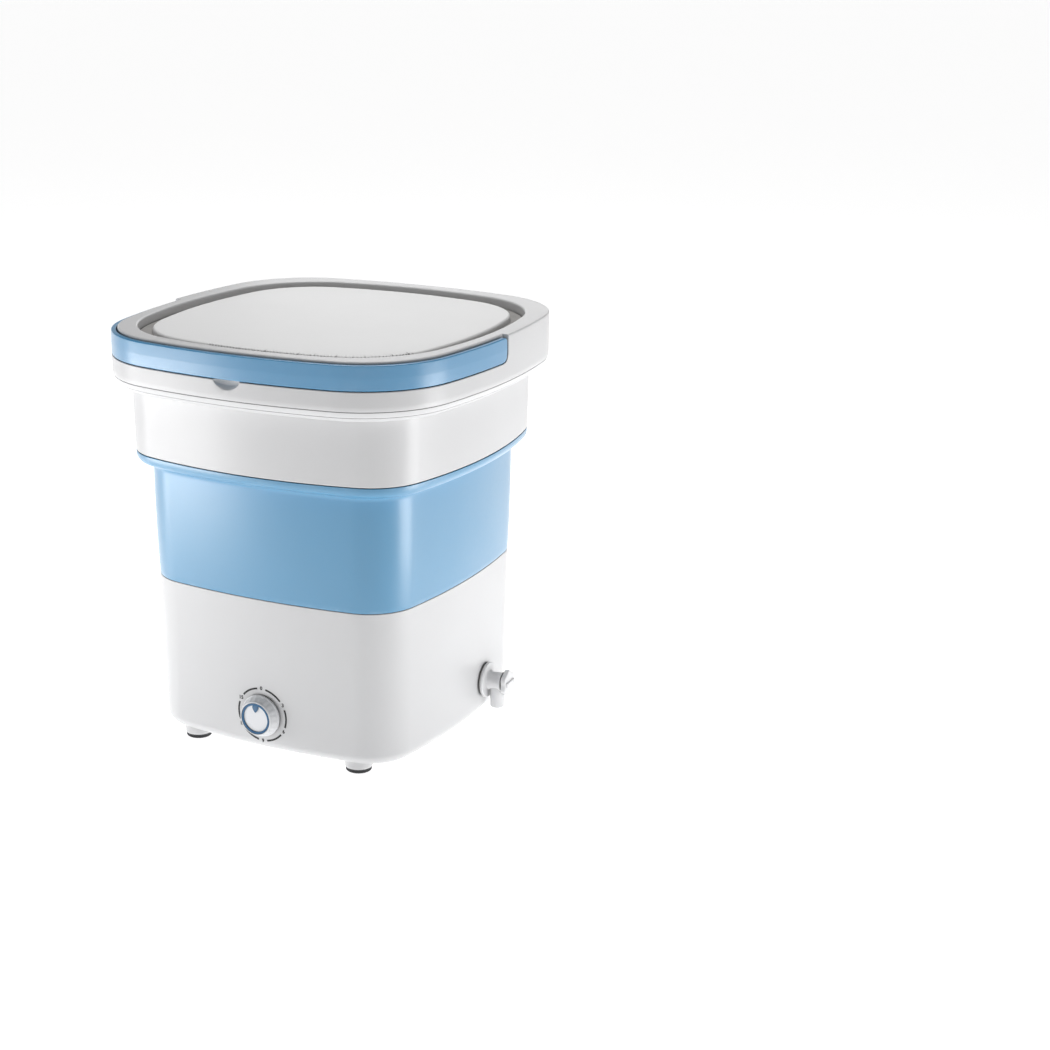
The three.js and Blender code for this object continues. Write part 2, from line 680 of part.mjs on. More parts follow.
// The dial's own axis points out of the front; its timer board stands behind it.
place(dial, 'timer_switch', timerSwitch(), BLACK);
place(dial, 'switch_nut', outFront(hexNut(7.2, 4.9, 0.8, 2.4)), STEEL);
place(dial, 'control_board', box([-32, 32], BOARD_AT, [-20, 12.5]), BOARD);
const knobGroup = group(dial);
place(knobGroup, 'timer_shaft', outFront(rod(3, -13.5, KNOB_DEPTH - 2.8, 12)), STEEL);
place(knobGroup, 'knob', knob(), WHITE);
place(knobGroup, 'knob_cap', outFront(rod(12.9, KNOB_DEPTH - 0.1, KNOB_DEPTH + 0.3, 24)), WHITE);
place(knobGroup, 'knob_ring', knobRing(), BLUE_DEEP);

place(socket, 'power_socket', outBack(turned([
  [0, -14], [5.5, -14], [5.5, 0.5], [8, 0.5], [8, 2.2], [3.2, 2.2], [3.2, -9], [1.1, -9], [1.1, 0], [0, 0],
], 16)), BLACK);
place(socket, 'socket_nut', outBack(hexNut(8.2, 5.9, -7.8, -5)), STEEL);

const LEAD_R = 1.6;
const BOARD_BACK = WALL_AT_KNOB + BOARD_AT[1] + GAP;
place(base, 'socket_lead', piped(path([
  [0, WALL_AT_SOCKET - 14 - GAP, SOCKET_Z], [0, 98, SOCKET_Z], [-30, 92, 30], [-84, 70, 27], [-94, 20, 27],
  [-94, -30, 27], [-80, -74, 28], [-40, -90, 30], [-24, -93, 30], [-22, BOARD_BACK, 30],
]), LEAD_R, 0, 20, 3), BLACK);
place(base, 'motor_lead', piped(path([
  [18.5 + GAP, CENTRES, 46], [30, CENTRES - 2, 46], [56, 10, 44], [60, -30, 42], [42, -70, 38],
  [24, -90, 34], [22, BOARD_BACK, 34],
]), LEAD_R, 0, 14, 3), BLACK);

// ---------------------------------------------------------------- rim, skirt, lid and handle

function upperSkirt() {
  return swept(on(SKIRT, [
    [SKIRT_HALF, SKIRT_BOTTOM],
    [SKIRT_TOP_HALF, RIM_BOTTOM],
    [SKIRT_TOP_HALF, LID_LEDGE - WALL - GAP],
    [SKIRT_TOP_HALF - WALL, LID_LEDGE - WALL - GAP],
    [SKIRT_TOP_HALF - WALL, RIM_BOTTOM],
    [SKIRT_HALF - WALL, SKIRT_BOTTOM],
  ]));
}

// The end of the handle's recess, seen from the side: upright, with a round lower corner.
function recessEnd(extra) {
  const middle = RECESS_END_Y - RECESS_END_R;
  const radius = RECESS_END_R + extra;
  const shape = new THREE.Shape();
  shape.moveTo(-200, TOP + 5);
  shape.lineTo(-200, LEDGE - extra);
  shape.lineTo(middle, LEDGE - extra);
  shape.absarc(middle, LEDGE + RECESS_END_R, radius, -Math.PI / 2, 0, false);
  shape.lineTo(middle + radius, TOP + 5);
  return slab(shape, -200, 200);
}

function rim() {
  const collarHalf = 144.5; // where the rounded underside ends
  const collarRise = 14.2;
  const shoulder = RIM_BOTTOM + collarRise;
  const reach = RIM_HALF - collarHalf;
  const inner = RIM_HALF - WALL;
  let body = swept([
    ...on(RIM, [
      ...arc(collarHalf, shoulder, reach, collarRise, -90, 0, 3),
      [RIM_HALF, TOP - 1.5],
      [RIM_HALF - 1.5, TOP],
    ]),
    ...on(MOUTH, [
      [MOUTH_HALF + 1.5, TOP],
      [MOUTH_HALF, TOP - 1.5],
      [MOUTH_HALF, LID_LEDGE],
      [127.5, LID_LEDGE],
      [127.5, LEDGE - 1],
      [130.5, LEDGE - 1],
      [130.5, LID_LEDGE - WALL],
    ]),
    ...on(RIM, [
      [146, LID_LEDGE - WALL],
      [146, TOP - WALL],
      [inner, TOP - WALL],
      ...arc(collarHalf, shoulder, reach - WALL, collarRise - WALL, 0, -90, 2),
    ]),
    ...on(SKIRT, [
      [SKIRT_TOP_HALF + 0.6, RIM_BOTTOM + WALL],
      [SKIRT_TOP_HALF + 0.6, RIM_BOTTOM],
    ]),
  ]);
  const backing = common(ring(RIM, INSET_HALF - WALL, 156, LEDGE - WALL, TOP - 2), recessEnd(WALL));
  const scoopPad = common(
    ring(RIM, INSET_HALF - WALL, 156, LEDGE - 10, LEDGE - 1),
    box([-18, 18], [-200, 0], [0, TOP]),
  );
  const recess = common(ring(RIM, INSET_HALF, RIM_HALF + 6, LEDGE, TOP + 5), recessEnd(0));
  const scoop = new THREE.SphereGeometry(1, 16, 8)
    .scale(12.5, 8, 7.5)
    .translate(-1.5, -RIM_HALF - 1.2, LEDGE + 0.4);
  const pivots = [-1, 1].map((side) => (
    sided(alongX(rod(4.6, INSET_HALF - 8, RIM_HALF, 12)), side).translate(0, PIVOT_Y, PIVOT_Z)
  ));
  body = join(body, backing, scoopPad);
  return cut(body, recess, scoop, ...pivots);
}

function handle() {
  const side = new THREE.Shape();
  const { lower, upper } = BAND_END_R;
  side.moveTo(-200, BAND_TOP);
  side.lineTo(-200, LEDGE + GAP);
  side.lineTo(BAND_END_Y - lower, LEDGE + GAP);
  side.absarc(BAND_END_Y - lower, LEDGE + GAP + lower, lower, -Math.PI / 2, 0, false);
  side.lineTo(BAND_END_Y, BAND_TOP - upper);
  side.absarc(BAND_END_Y - upper, BAND_TOP - upper, upper, 0, Math.PI / 2, false);
  const band = common(
    ring(RIM, RIM_HALF - BAND_THICK, RIM_HALF, LEDGE + GAP, BAND_TOP),
    slab(side, -200, 200),
  );
  const bosses = [-1, 1].map((end) => sided(alongX(turned([
    [0, 146.4], [2.6, 146.4], [2.6, 148.3], [4.1, 148.3], [4.1, 155.5], [0, 155.5],
  ], 12)), end).translate(0, PIVOT_Y, PIVOT_Z));
  return join(band, ...bosses);
}

function lid() {
  return swept(on(MOUTH, [
    [60, 344.3],
    [110, 343.3],
    ...arc(LID_PANEL_HALF - 2.5, 339.7, 2.5, 2.5, 80, 0, 2),
    [LID_PANEL_HALF, LID_LEDGE + 3.6],
    [MOUTH_HALF - 1.3, LID_LEDGE + 3],
    [MOUTH_HALF - 0.7, LID_LEDGE + 2.2],
    [MOUTH_HALF - 0.7, LID_LEDGE + GAP],
    [125.8, LID_LEDGE + GAP],
    [125.8, LEDGE + 3],
    [123.2, LEDGE + 3],
    [123.2, LID_LEDGE + 3],
    [120, 339.6],
    [60, 341.2],
  ]), false);
}

place(upper, 'upper_skirt', upperSkirt(), WHITE);
place(upper, 'rim', rim(), WHITE);
place(group(upper), 'lid', lid(), LID_WHITE);
const bail = group(upper);
place(bail, 'handle', handle(), BLUE_GLOSS);
for (const [side, end] of [['left', -1], ['right', 1]]) {
  const clip = sided(alongX(collar(2.8, 5.5, 146.5, 148, 12)), end);
  place(bail, `pivot_clip_${side}`, clip, STEEL).position.set(0, PIVOT_Y, PIVOT_Z);
}

export default washer;
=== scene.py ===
"""Looks of the portable mini washer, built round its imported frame. Metres; front towards -Y."""

import math

import bmesh
import bpy
import numpy as np
from mathutils import Matrix, Vector


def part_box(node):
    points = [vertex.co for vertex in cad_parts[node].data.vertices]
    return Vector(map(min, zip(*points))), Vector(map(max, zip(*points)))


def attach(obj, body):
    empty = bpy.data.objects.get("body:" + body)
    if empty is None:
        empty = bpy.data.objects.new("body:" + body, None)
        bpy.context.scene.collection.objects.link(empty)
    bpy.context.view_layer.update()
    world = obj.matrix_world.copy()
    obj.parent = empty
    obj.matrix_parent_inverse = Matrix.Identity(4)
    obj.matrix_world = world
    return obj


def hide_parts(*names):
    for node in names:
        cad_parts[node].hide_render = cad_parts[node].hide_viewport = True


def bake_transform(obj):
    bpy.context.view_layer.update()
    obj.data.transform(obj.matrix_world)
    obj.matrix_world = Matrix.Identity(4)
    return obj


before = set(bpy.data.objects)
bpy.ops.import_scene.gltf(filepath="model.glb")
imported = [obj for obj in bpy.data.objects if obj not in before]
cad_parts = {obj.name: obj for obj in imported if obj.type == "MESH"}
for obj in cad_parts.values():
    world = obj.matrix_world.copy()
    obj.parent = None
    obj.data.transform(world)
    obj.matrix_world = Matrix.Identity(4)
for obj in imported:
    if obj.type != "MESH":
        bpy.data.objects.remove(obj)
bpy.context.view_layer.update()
MM = 0.001

# -------- driving sizes, millimetres


def edge(node, axis, high):
    """Where a CAD node starts or ends along an axis."""
    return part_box(node)[1 if high else 0][axis] / MM


GAP = 0.3  # between pieces that meet
WALL = 3.0  # thickness of the moulded walls
SHELL_BOTTOM = edge("bottom_cover", 2, False) - GAP
SHELL_TOP = edge("base_shell", 2, True)
SHELL_HALF = edge("base_shell", 0, True)
SHELL_DRAFT = 0.023  # narrowing towards the bottom, per millimetre of height
FILLET = 10.0  # round the lower edge of the base
COVER_HALF = 84.0
SKIRT_BOTTOM = edge("upper_skirt", 2, False)
SKIRT_TOP = edge("upper_skirt", 2, True)
SKIRT_HALF = 140.6
SKIRT_TOP_HALF = 141.8
RIM_HALF = edge("rim", 0, True)
RIM_BOTTOM = edge("rim", 2, False)
TOP = edge("rim", 2, True)
GROOVES = (302.3, 307.3)  # heights of the two lines pressed round the rim
LEDGE = 323.0  # under the handle
LID_LEDGE = 334.0
MOUTH_HALF = 142.0
INSET_HALF = 152.2  # the rim's wall behind the handle
PANEL_HALF = 130.0  # the raised middle of the lid
BAND_TOP = edge("handle", 2, True)
BAND_LOW = edge("handle", 2, False)
PIVOT_Y, PIVOT_Z = -7.4, 336.0
END_Y, END_R = 1.7, 7.4  # where the recess for the handle ends, and its lower corner
KNOB_Z = 40.0
KNOB_DEPTH = 9.0
TAP_Y, TAP_Z = 40.0, 38.0
SOCKET_Z = 34.0
TUB_FLOOR = 58.8

FEET = {"front_left": (-77, -99), "front_right": (77, -99), "rear_left": (-77, 99), "rear_right": (77, 99)}
COVER_SCREWS = [(-78.5, -40), (78.5, -40), (-78.5, 40), (78.5, 40)]
POSTS = [(-44, -24), (44, -24), (0, 68)]
SCREW_HOLE = 1.8


def section(half, side_radius, corner_radius):
    """A square with bowed sides, kept as what stays the same when it is offset."""
    return np.array([side_radius - half, corner_radius - half])


BODY = section(SHELL_HALF, 565, 42)
SKIRT = section(SKIRT_TOP_HALF, 398, 50)
RIM = section(RIM_HALF, 505, 80.5)
MOUTH = section(MOUTH_HALF, 360, 81)


def shell_half(z):
    """Half the base's width at a height."""
    return SHELL_HALF - SHELL_DRAFT * (SHELL_TOP - z)


def fall(shape, half, along):
    """How far a bowed side has curved back at a distance from its middle."""
    radius = half + shape[0]
    return radius - math.sqrt(radius * radius - along * along)


# -------- stations round a section

MIDDLE = 30.0  # lateral reach of the stations counted in millimetres


def spot(shape, half, station):
    """Point of a section's outline. A station is (side, "v", millimetres) or (side, "u", share).

    Shares lead on to the next side: a quarter on the flank, half round the corner, a quarter on its flank.
    """
    bow, rounding = shape
    offset = max(half, -1.05 * rounding)  # further in, the outline only shrinks
    shrink = half / offset
    radius, corner = offset + bow, offset + rounding
    reach = radius - corner
    centre = (math.sqrt(2 * reach * reach - bow * bow) - bow) / 2
    swing = math.atan2(centre, centre + bow)
    side, kind, value = station
    first = math.asin(MIDDLE / radius)
    if kind == "v":
        angle = math.asin(value / radius)
        x, y = radius * math.cos(angle) - bow, radius * math.sin(angle)
    elif value < 0.25:
        angle = first + (swing - first) * value * 4
        x, y = radius * math.cos(angle) - bow, radius * math.sin(angle)
    elif value <= 0.75:
        angle = swing + (math.pi / 2 - 2 * swing) * (value - 0.25) * 2
        x, y = centre + corner * math.cos(angle), centre + corner * math.sin(angle)
    else:
        angle = math.pi / 2 - swing + (swing - first) * (value - 0.75) * 4
        x, y = radius * math.cos(angle), radius * math.sin(angle) - bow
    x, y = x * shrink, y * shrink
    for _ in range(side):
        x, y = -y, x
    return x, y


def stations(extra=()):
    """Stations all round: lateral ones in each side's middle, then round to the next side."""
    side_steps, corner_steps, flank_steps = 4, 18, 6
    found = []
    for side in range(4):
        lateral = {round(MIDDLE * (i / side_steps), 4) for i in range(-side_steps, side_steps + 1)}
        lateral |= {round(v, 4) for s, v in extra if s == side}
        found += [(side, "v", v) for v in sorted(lateral)]
        shares = [0.25 * (i + 1) / flank_steps for i in range(flank_steps)]
        shares += [0.25 + 0.5 * (i + 1) / corner_steps for i in range(corner_steps)]
        shares += [0.75 + 0.25 * (i + 1) / flank_steps for i in range(flank_steps - 1)]
        found += [(side, "u", u) for u in shares]
    return found


ROUND_STATIONS = stations()


def rounded(points, steps=4, closed=True):
    """A profile of (half, z) or (half, z, radius) corners, with its corners rounded."""
    n = len(points)
    result = []
    for i, point in enumerate(points):
        radius = point[2] if len(point) > 2 else 0
        here = np.array(point[:2], float)
        if radius <= 0 or (not closed and i in (0, n - 1)):
            result.append(tuple(here))
            continue
        before = np.array(points[i - 1][:2], float) - here
        after = np.array(points[(i + 1) % n][:2], float) - here
        la, lb = np.linalg.norm(before), np.linalg.norm(after)
        before, after = before / la, after / lb
        opening = math.acos(max(-1, min(1, float(before @ after))))
        back = min(radius / math.tan(opening / 2), 0.499 * la, 0.499 * lb)
        radius = back * math.tan(opening / 2)
        start, end = here + before * back, here + after * back
        bisector = before + after
        centre = here + bisector / np.linalg.norm(bisector) * (radius / math.sin(opening / 2))
        a0 = math.atan2(*(start - centre)[::-1])
        turn = math.atan2(*(end - centre)[::-1]) - a0
        turn = (turn + math.pi) % (2 * math.pi) - math.pi
        for step in range(steps + 1):
            angle = a0 + turn * step / steps
            result.append((centre[0] + radius * math.cos(angle), centre[1] + radius * math.sin(angle)))
    return result


def arc(x, z, rx, rz, start, end, steps=8):
    """Points of an ellipse about (x, z), from one angle to another in degrees."""
    angles = [math.radians(start + (end - start) * i / steps) for i in range(steps + 1)]
    return [(x + rx * math.cos(a), z + rz * math.sin(a)) for a in angles]


def between(low, high, steps):
    """Points on the straight line from low towards high, both left out."""
    return [tuple(low[k] + (high[k] - low[k]) * i / steps for k in (0, 1)) for i in range(1, steps)]


# -------- meshes

SHARP = 32  # degrees; steeper edges stay crisp


def placed(name, data):
    """A mesh, curve or camera as an object in the scene."""
    obj = bpy.data.objects.new(name, data)
    bpy.context.scene.collection.objects.link(obj)
    return obj


def finished(name, verts, faces, sharp=SHARP):
    mesh = bpy.data.meshes.new(name)
    mesh.from_pydata([tuple(c * MM for c in v) for v in verts], [], faces)
    obj = placed(name, mesh)
    tidy(obj, sharp)
    return obj


def tidy(obj, sharp=SHARP):
    """Faces outwards, no doubled points, smooth with real edges kept."""
    built = bmesh.new()
    built.from_mesh(obj.data)
    bmesh.ops.remove_doubles(built, verts=built.verts, dist=2e-6)
    bmesh.ops.dissolve_degenerate(built, edges=built.edges, dist=1e-6)
    if built.calc_volume(signed=True) < 0:
        bmesh.ops.reverse_faces(built, faces=built.faces)
    built.to_mesh(obj.data)
    built.free()
    obj.data.shade_smooth()
    obj.data.set_sharp_from_angle(angle=math.radians(sharp))


def skin(name, rows, sharp=SHARP, wrap_rows=True, wrap_columns=True):
    """Quads over a grid of points; a grid that doesn't wrap its rows is closed by two end faces."""
    verts = [p for row in rows for p in row]
    n, m = len(rows), len(rows[0])
    faces = []
    for i in range(n if wrap_rows else n - 1):
        for j in range(m if wrap_columns else m - 1):
            a, b = i * m + j, i * m + (j + 1) % m
            c, d = ((i + 1) % n) * m + (j + 1) % m, ((i + 1) % n) * m + j
            faces.append((a, b, c, d))
    if not wrap_rows:
        faces.append(tuple(range(m))[::-1])
        faces.append(tuple(range((n - 1) * m, n * m)))
    if not wrap_columns:
        faces.append(tuple(i * m for i in range(n)))
        faces.append(tuple(i * m + m - 1 for i in range(n))[::-1])
    return finished(name, verts, faces, sharp)


def swept(name, profile, shape, closed=True):
    """A profile carried round a section; shape is one section or a function of (half, z)."""
    rows = []
    for half, z in profile:
        form = shape(half, z) if callable(shape) else shape
        rows.append([(*spot(form, half, s), z) for s in ROUND_STATIONS])
    return skin(name, rows, wrap_rows=closed)


def turned(name, profile, chords=64, ripple=None, closed=False):
    """A profile of (radius, z) turned about Z; ripple(radius, z, angle) changes the radius."""
    rows = []
    for radius, z in profile:
        row = []
        for i in range(chords):
            angle = 2 * math.pi * i / chords
            r = max(radius, 1e-3) + (ripple(radius, z, angle) if ripple else 0)
            row.append((r * math.cos(angle), r * math.sin(angle), z))
        rows.append(row)
    return skin(name, rows, wrap_rows=closed)


def rod(radius, low, high, chords=48):
    return turned("tool", [(radius, low), (radius, high)], chords)


def block(x, y, z):
    corners = [(a, b, c) for c in z for b in y for a in x]
    faces = [(0, 2, 3, 1), (4, 5, 7, 6), (0, 1, 5, 4), (2, 6, 7, 3), (0, 4, 6, 2), (1, 3, 7, 5)]
    return finished("tool", corners, faces)


def move(obj, shift=(0, 0, 0), turn=None):
    """turn is a matrix about the origin, applied before the shift in millimetres."""
    place = Matrix.Translation(Vector(shift) * MM) @ (turn.to_4x4() if turn else Matrix.Identity(4))
    obj.data.transform(place)
    return obj


def on_each(places, radius, low, high, chords=24):
    """The same upright rod at several places."""
    return [move(rod(radius, low, high, chords), (x, y, 0)) for x, y in places]


def evaluated(obj):
    """A mesh of what the object comes to with its modifiers."""
    bpy.context.view_layer.update()
    return bpy.data.meshes.new_from_object(obj.evaluated_get(bpy.context.evaluated_depsgraph_get()))


def apply(obj):
    result = evaluated(obj)
    obj.modifiers.clear()
    obj.data = result


def gathered(tools):
    """Several separate tools as one object."""
    whole = bmesh.new()
    for tool in tools:
        whole.from_mesh(tool.data)
        bpy.data.objects.remove(tool)
    mesh = bpy.data.meshes.new("tools")
    whole.to_mesh(mesh)
    whole.free()
    return placed("tools", mesh)


def blended(obj, operation, tools):
    """The boolean of an object with each tool, applied."""
    for tool in tools:
        change = obj.modifiers.new("shape", "BOOLEAN")
        change.operation = operation
        change.solver = "EXACT"
        change.object = tool
        apply(obj)
        bpy.data.objects.remove(tool)
    tidy(obj)
    return obj


def cut(obj, *tools):
    return blended(obj, "DIFFERENCE", tools)


def join(obj, *tools):
    return blended(obj, "UNION", tools)


def softened(obj, width, angle=50, segments=2):
    """Rounds the hard edges left by booleans."""
    change = obj.modifiers.new("edges", "BEVEL")
    change.width = width * MM
    change.segments = segments
    change.limit_method = "ANGLE"
    change.angle_limit = math.radians(angle)
    apply(obj)
    tidy(obj)
    return obj


def keep(obj, name, body, look, nodes=(), weighted=True):
    """Names a piece, gives it its finish and puts it on its CAD body."""
    obj.name = name
    obj.data.name = name
    obj.data.materials.clear()
    obj.data.materials.append(look)
    if weighted:
        change = obj.modifiers.new("normals", "WEIGHTED_NORMAL")
        change.keep_sharp = True
    if body:
        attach(obj, body)
    if nodes:
        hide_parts(*nodes)
    return obj


OUT_FRONT = Matrix.Rotation(math.pi / 2, 3, "X")
OUT_BACK = Matrix.Rotation(-math.pi / 2, 3, "X")
ALONG_X = Matrix.Rotation(math.pi / 2, 3, "Y")

# -------- finishes


class Nodes:
    """A short way to lay out a material's nodes."""

    def __init__(self, name):
        self.material = bpy.data.materials.new(name)
        self.material.use_nodes = True
        self.tree = self.material.node_tree
        self.shader = next(n for n in self.tree.nodes if n.type == "BSDF_PRINCIPLED")
        self.place = self.add("ShaderNodeTexCoord").outputs["Object"]

    def add(self, kind, **settings):
        node = self.tree.nodes.new(kind)
        for key, value in settings.items():
            setattr(node, key, value)
        return node

    def link(self, a, b):
        self.tree.links.new(a, b)

    def noise(self, scale, detail=4, roughness=0.55, stretch=None):
        texture = self.add("ShaderNodeTexNoise")
        texture.inputs["Scale"].default_value = scale
        texture.inputs["Detail"].default_value = detail
        texture.inputs["Roughness"].default_value = roughness
        place = self.place
        if stretch:
            mapping = self.add("ShaderNodeMapping")
            mapping.inputs["Scale"].default_value = stretch
            self.link(self.place, mapping.inputs["Vector"])
            place = mapping.outputs["Vector"]
        self.link(place, texture.inputs["Vector"])
        return texture.outputs["Fac"]

    def spread(self, value, low, high, start=0.3, end=0.7):
        scaled = self.add("ShaderNodeMapRange")
        for key, number in (("From Min", start), ("From Max", end), ("To Min", low), ("To Max", high)):
            scaled.inputs[key].default_value = number
        self.link(value, scaled.inputs["Value"])
        return scaled.outputs["Result"]

    def mix(self, share, a, b):
        blend = self.add("ShaderNodeMix", data_type="RGBA")
        for socket, value in ((blend.inputs["A"], a), (blend.inputs["B"], b)):
            if isinstance(value, tuple):
                socket.default_value = (*value[:3], 1)
            else:
                self.link(value, socket)
        self.link(share, blend.inputs["Factor"])
        return blend.outputs["Result"]

    def bump(self, height, strength, distance, after=None):
        raised = self.add("ShaderNodeBump")
        raised.inputs["Strength"].default_value = strength
        raised.inputs["Distance"].default_value = distance
        self.link(height, raised.inputs["Height"])
        if after:
            self.link(after, raised.inputs["Normal"])
        return raised.outputs["Normal"]

    def painted_crease_shade(self):
        """1 deep in narrow gaps and seams, 0 on open faces: ambient occlusion, used to paint shade into the
        colour there.
        """
        node = self.add("ShaderNodeAmbientOcclusion", samples=8)
        node.inputs["Distance"].default_value = 4 * MM
        return self.spread(node.outputs["AO"], 1.0, 0.0, 0.15, 0.7)

    def edges(self, low, high):
        """1 on worn outer edges, 0 on flats."""
        return self.spread(self.add("ShaderNodeNewGeometry").outputs["Pointiness"], 0.0, 1.0, low, high)


def linear(red, green, blue):
    """A colour given as it looks on a screen, 0 to 255."""
    shares = [c / 255 for c in (red, green, blue)]
    return tuple(s / 12.92 if s <= 0.04045 else ((s + 0.055) / 1.055) ** 2.4 for s in shares)


def shade(colour, factor):
    return tuple(c * factor for c in colour)


def plastic(name, colour, rough, *, vary=0.05, grain=0.05, grain_scale=2600, dirt=0.85, coat=0.0, ior=1.46):
    """Moulded plastic: faint clouding and flow marks, fine moulding texture, scuffed edges, dust, and
    painted shade darkening gaps and seams.
    """
    n = Nodes(name)
    clouds = n.spread(n.noise(5, 3), 0.0, 1.0)
    base = n.mix(clouds, shade(colour, 1 - vary), colour)
    flow = n.spread(n.noise(3, 6, 0.6, stretch=(1, 1, 0.25)), 0.0, 0.06)
    base = n.mix(flow, base, shade(colour, 0.8))
    specks = n.spread(n.noise(900, 2, 0.5), 0.0, 0.5, 0.68, 0.8)
    base = n.mix(specks, base, shade(colour, dirt))
    scuff = n.add("ShaderNodeMath", operation="MULTIPLY")
    n.link(n.edges(0.505, 0.56), scuff.inputs[0])
    n.link(n.spread(n.noise(60, 5), 0.0, 0.3, 0.45, 0.65), scuff.inputs[1])
    lighter = tuple(min(1.0, c + 0.25 * (1 - c)) for c in colour)
    base = n.mix(scuff.outputs["Value"], base, lighter)
    # Painted shade: the colour darkens to 0.3 of itself in gaps and seams found by ambient occlusion.
    n.link(n.mix(n.painted_crease_shade(), base, shade(colour, 0.3)), n.shader.inputs["Base Color"])
    uneven = n.spread(n.noise(14, 5), rough - 0.04, rough + 0.05)
    gloss = n.add("ShaderNodeMath", operation="ADD")
    n.link(uneven, gloss.inputs[0])
    n.link(n.spread(n.noise(300, 3), 0.0, 0.05), gloss.inputs[1])
    n.link(gloss.outputs["Value"], n.shader.inputs["Roughness"])
    wave = n.bump(n.noise(9, 2), 0.05, 0.0006)
    n.link(n.bump(n.noise(grain_scale, 2), grain, 0.00006, wave), n.shader.inputs["Normal"])
    n.shader.inputs["IOR"].default_value = ior
    n.shader.inputs["Coat Weight"].default_value = coat
    n.shader.inputs["Coat Roughness"].default_value = 0.3
    return n.material


def metal(name, colour, rough):
    """Worked metal: fine tool lines, tarnish in patches, brighter edges."""
    n = Nodes(name)
    patches = n.spread(n.noise(160, 5), 0.0, 1.0)
    base = n.mix(patches, shade(colour, 0.72), colour)
    n.link(n.mix(n.edges(0.5, 0.6), base, shade(colour, 1.15)), n.shader.inputs["Base Color"])
    lines = n.noise(240, 3, stretch=(1, 1, 40))
    n.link(n.spread(lines, rough - 0.08, rough + 0.12), n.shader.inputs["Roughness"])
    n.link(n.bump(lines, 0.15, 0.00005), n.shader.inputs["Normal"])
    n.shader.inputs["Metallic"].default_value = 1.0
    return n.material


def rubber(name, colour, rough=0.7):
    """Matt rubber with bloom and fine pitting."""
    n = Nodes(name)
    bloom = n.spread(n.noise(120, 5), 0.0, 0.35)
    base = n.mix(bloom, colour, tuple(min(1.0, c * 1.6 + 0.01) for c in colour))
    dusty = tuple(min(1.0, c + 0.05) for c in colour)
    n.link(n.mix(n.edges(0.5, 0.58), base, dusty), n.shader.inputs["Base Color"])
    n.link(n.spread(n.noise(200, 4), rough - 0.08, rough + 0.1), n.shader.inputs["Roughness"])
    n.link(n.bump(n.noise(1800, 3), 0.25, 0.0001), n.shader.inputs["Normal"])
    n.shader.inputs["Specular IOR Level"].default_value = 0.35
    return n.material


def circuit(name):
    """Green board with paler copper runs under the lacquer."""
    n = Nodes(name)
    runs = n.add("ShaderNodeTexBrick")
    runs.inputs["Scale"].default_value = 160
    runs.inputs["Mortar Size"].default_value = 0.06
    n.link(n.place, runs.inputs["Vector"])
    base = n.mix(n.spread(n.noise(90, 4), 0.0, 1.0), linear(28, 84, 52), linear(40, 104, 66))
    n.link(n.mix(runs.outputs["Fac"], base, linear(96, 150, 96)), n.shader.inputs["Base Color"])
    n.link(n.spread(n.noise(300, 3), 0.28, 0.42), n.shader.inputs["Roughness"])
    n.link(n.bump(runs.outputs["Fac"], 0.2, 0.00005), n.shader.inputs["Normal"])
    return n.material


def ink(name, colour):
    """Printed ink, thin and slightly broken."""
    n = Nodes(name)
    thin = n.spread(n.noise(2500, 3), 0.0, 0.4, 0.5, 0.8)
    n.link(n.mix(thin, colour, linear(120, 120, 122)), n.shader.inputs["Base Color"])
    n.link(n.spread(n.noise(700, 3), 0.4, 0.6), n.shader.inputs["Roughness"])
    n.link(n.bump(n.noise(2500, 3), 0.1, 0.00003), n.shader.inputs["Normal"])
    return n.material


SHELL_WHITE = plastic("shell_white", linear(206, 206, 207), 0.34, vary=0.025, coat=0.4)
TUB_WHITE = plastic("tub_white", linear(216, 217, 217), 0.36, vary=0.03)
LID_WHITE = plastic("lid_white", linear(228, 228, 228), 0.42, vary=0.02, grain=0.12, grain_scale=1500)
SOFT_BLUE = plastic("soft_blue", linear(56, 137, 180), 0.34, vary=0.05, grain=0.06, coat=1.0, ior=1.65)
GLOSS_BLUE = plastic("gloss_blue", linear(56, 136, 182), 0.3, vary=0.04, grain=0.03, coat=1.0, ior=1.65)
KNOB_WHITE = plastic("knob_white", linear(228, 229, 232), 0.28, vary=0.02)
KNOB_SIDE = plastic("knob_side", linear(226, 227, 229), 0.24, vary=0.05)
DEEP_BLUE = plastic("deep_blue", linear(40, 92, 132), 0.3, vary=0.05)
TAP_WHITE = plastic("tap_white", linear(222, 222, 223), 0.3, vary=0.03)
NATURAL = plastic("natural_plastic", linear(226, 220, 202), 0.45, vary=0.06)
BLACK = plastic("black_plastic", linear(30, 31, 33), 0.42, vary=0.2, dirt=2.2)
GREY = metal("motor_grey", linear(150, 154, 160), 0.42)
STEEL = metal("steel", linear(186, 189, 193), 0.3)
BRASS = metal("brass", linear(201, 168, 92), 0.34)
FOOT_RUBBER = rubber("foot_rubber", linear(44, 45, 47))
SEAL_RUBBER = rubber("seal_rubber", linear(58, 59, 62))
# Grey of the ring laid in the lid's groove: painted shade for the groove's shadow.
GROOVE_SHADE_GREY = rubber("groove_shade_grey", linear(134, 132, 130))
SEAL_PALE = rubber("seal_pale", linear(188, 187, 185))
LEAD_BLACK = rubber("lead_black", linear(32, 33, 34), 0.5)
GREEN = circuit("board_green")
PRINT = ink("print_black", linear(20, 20, 22))

# -------- base

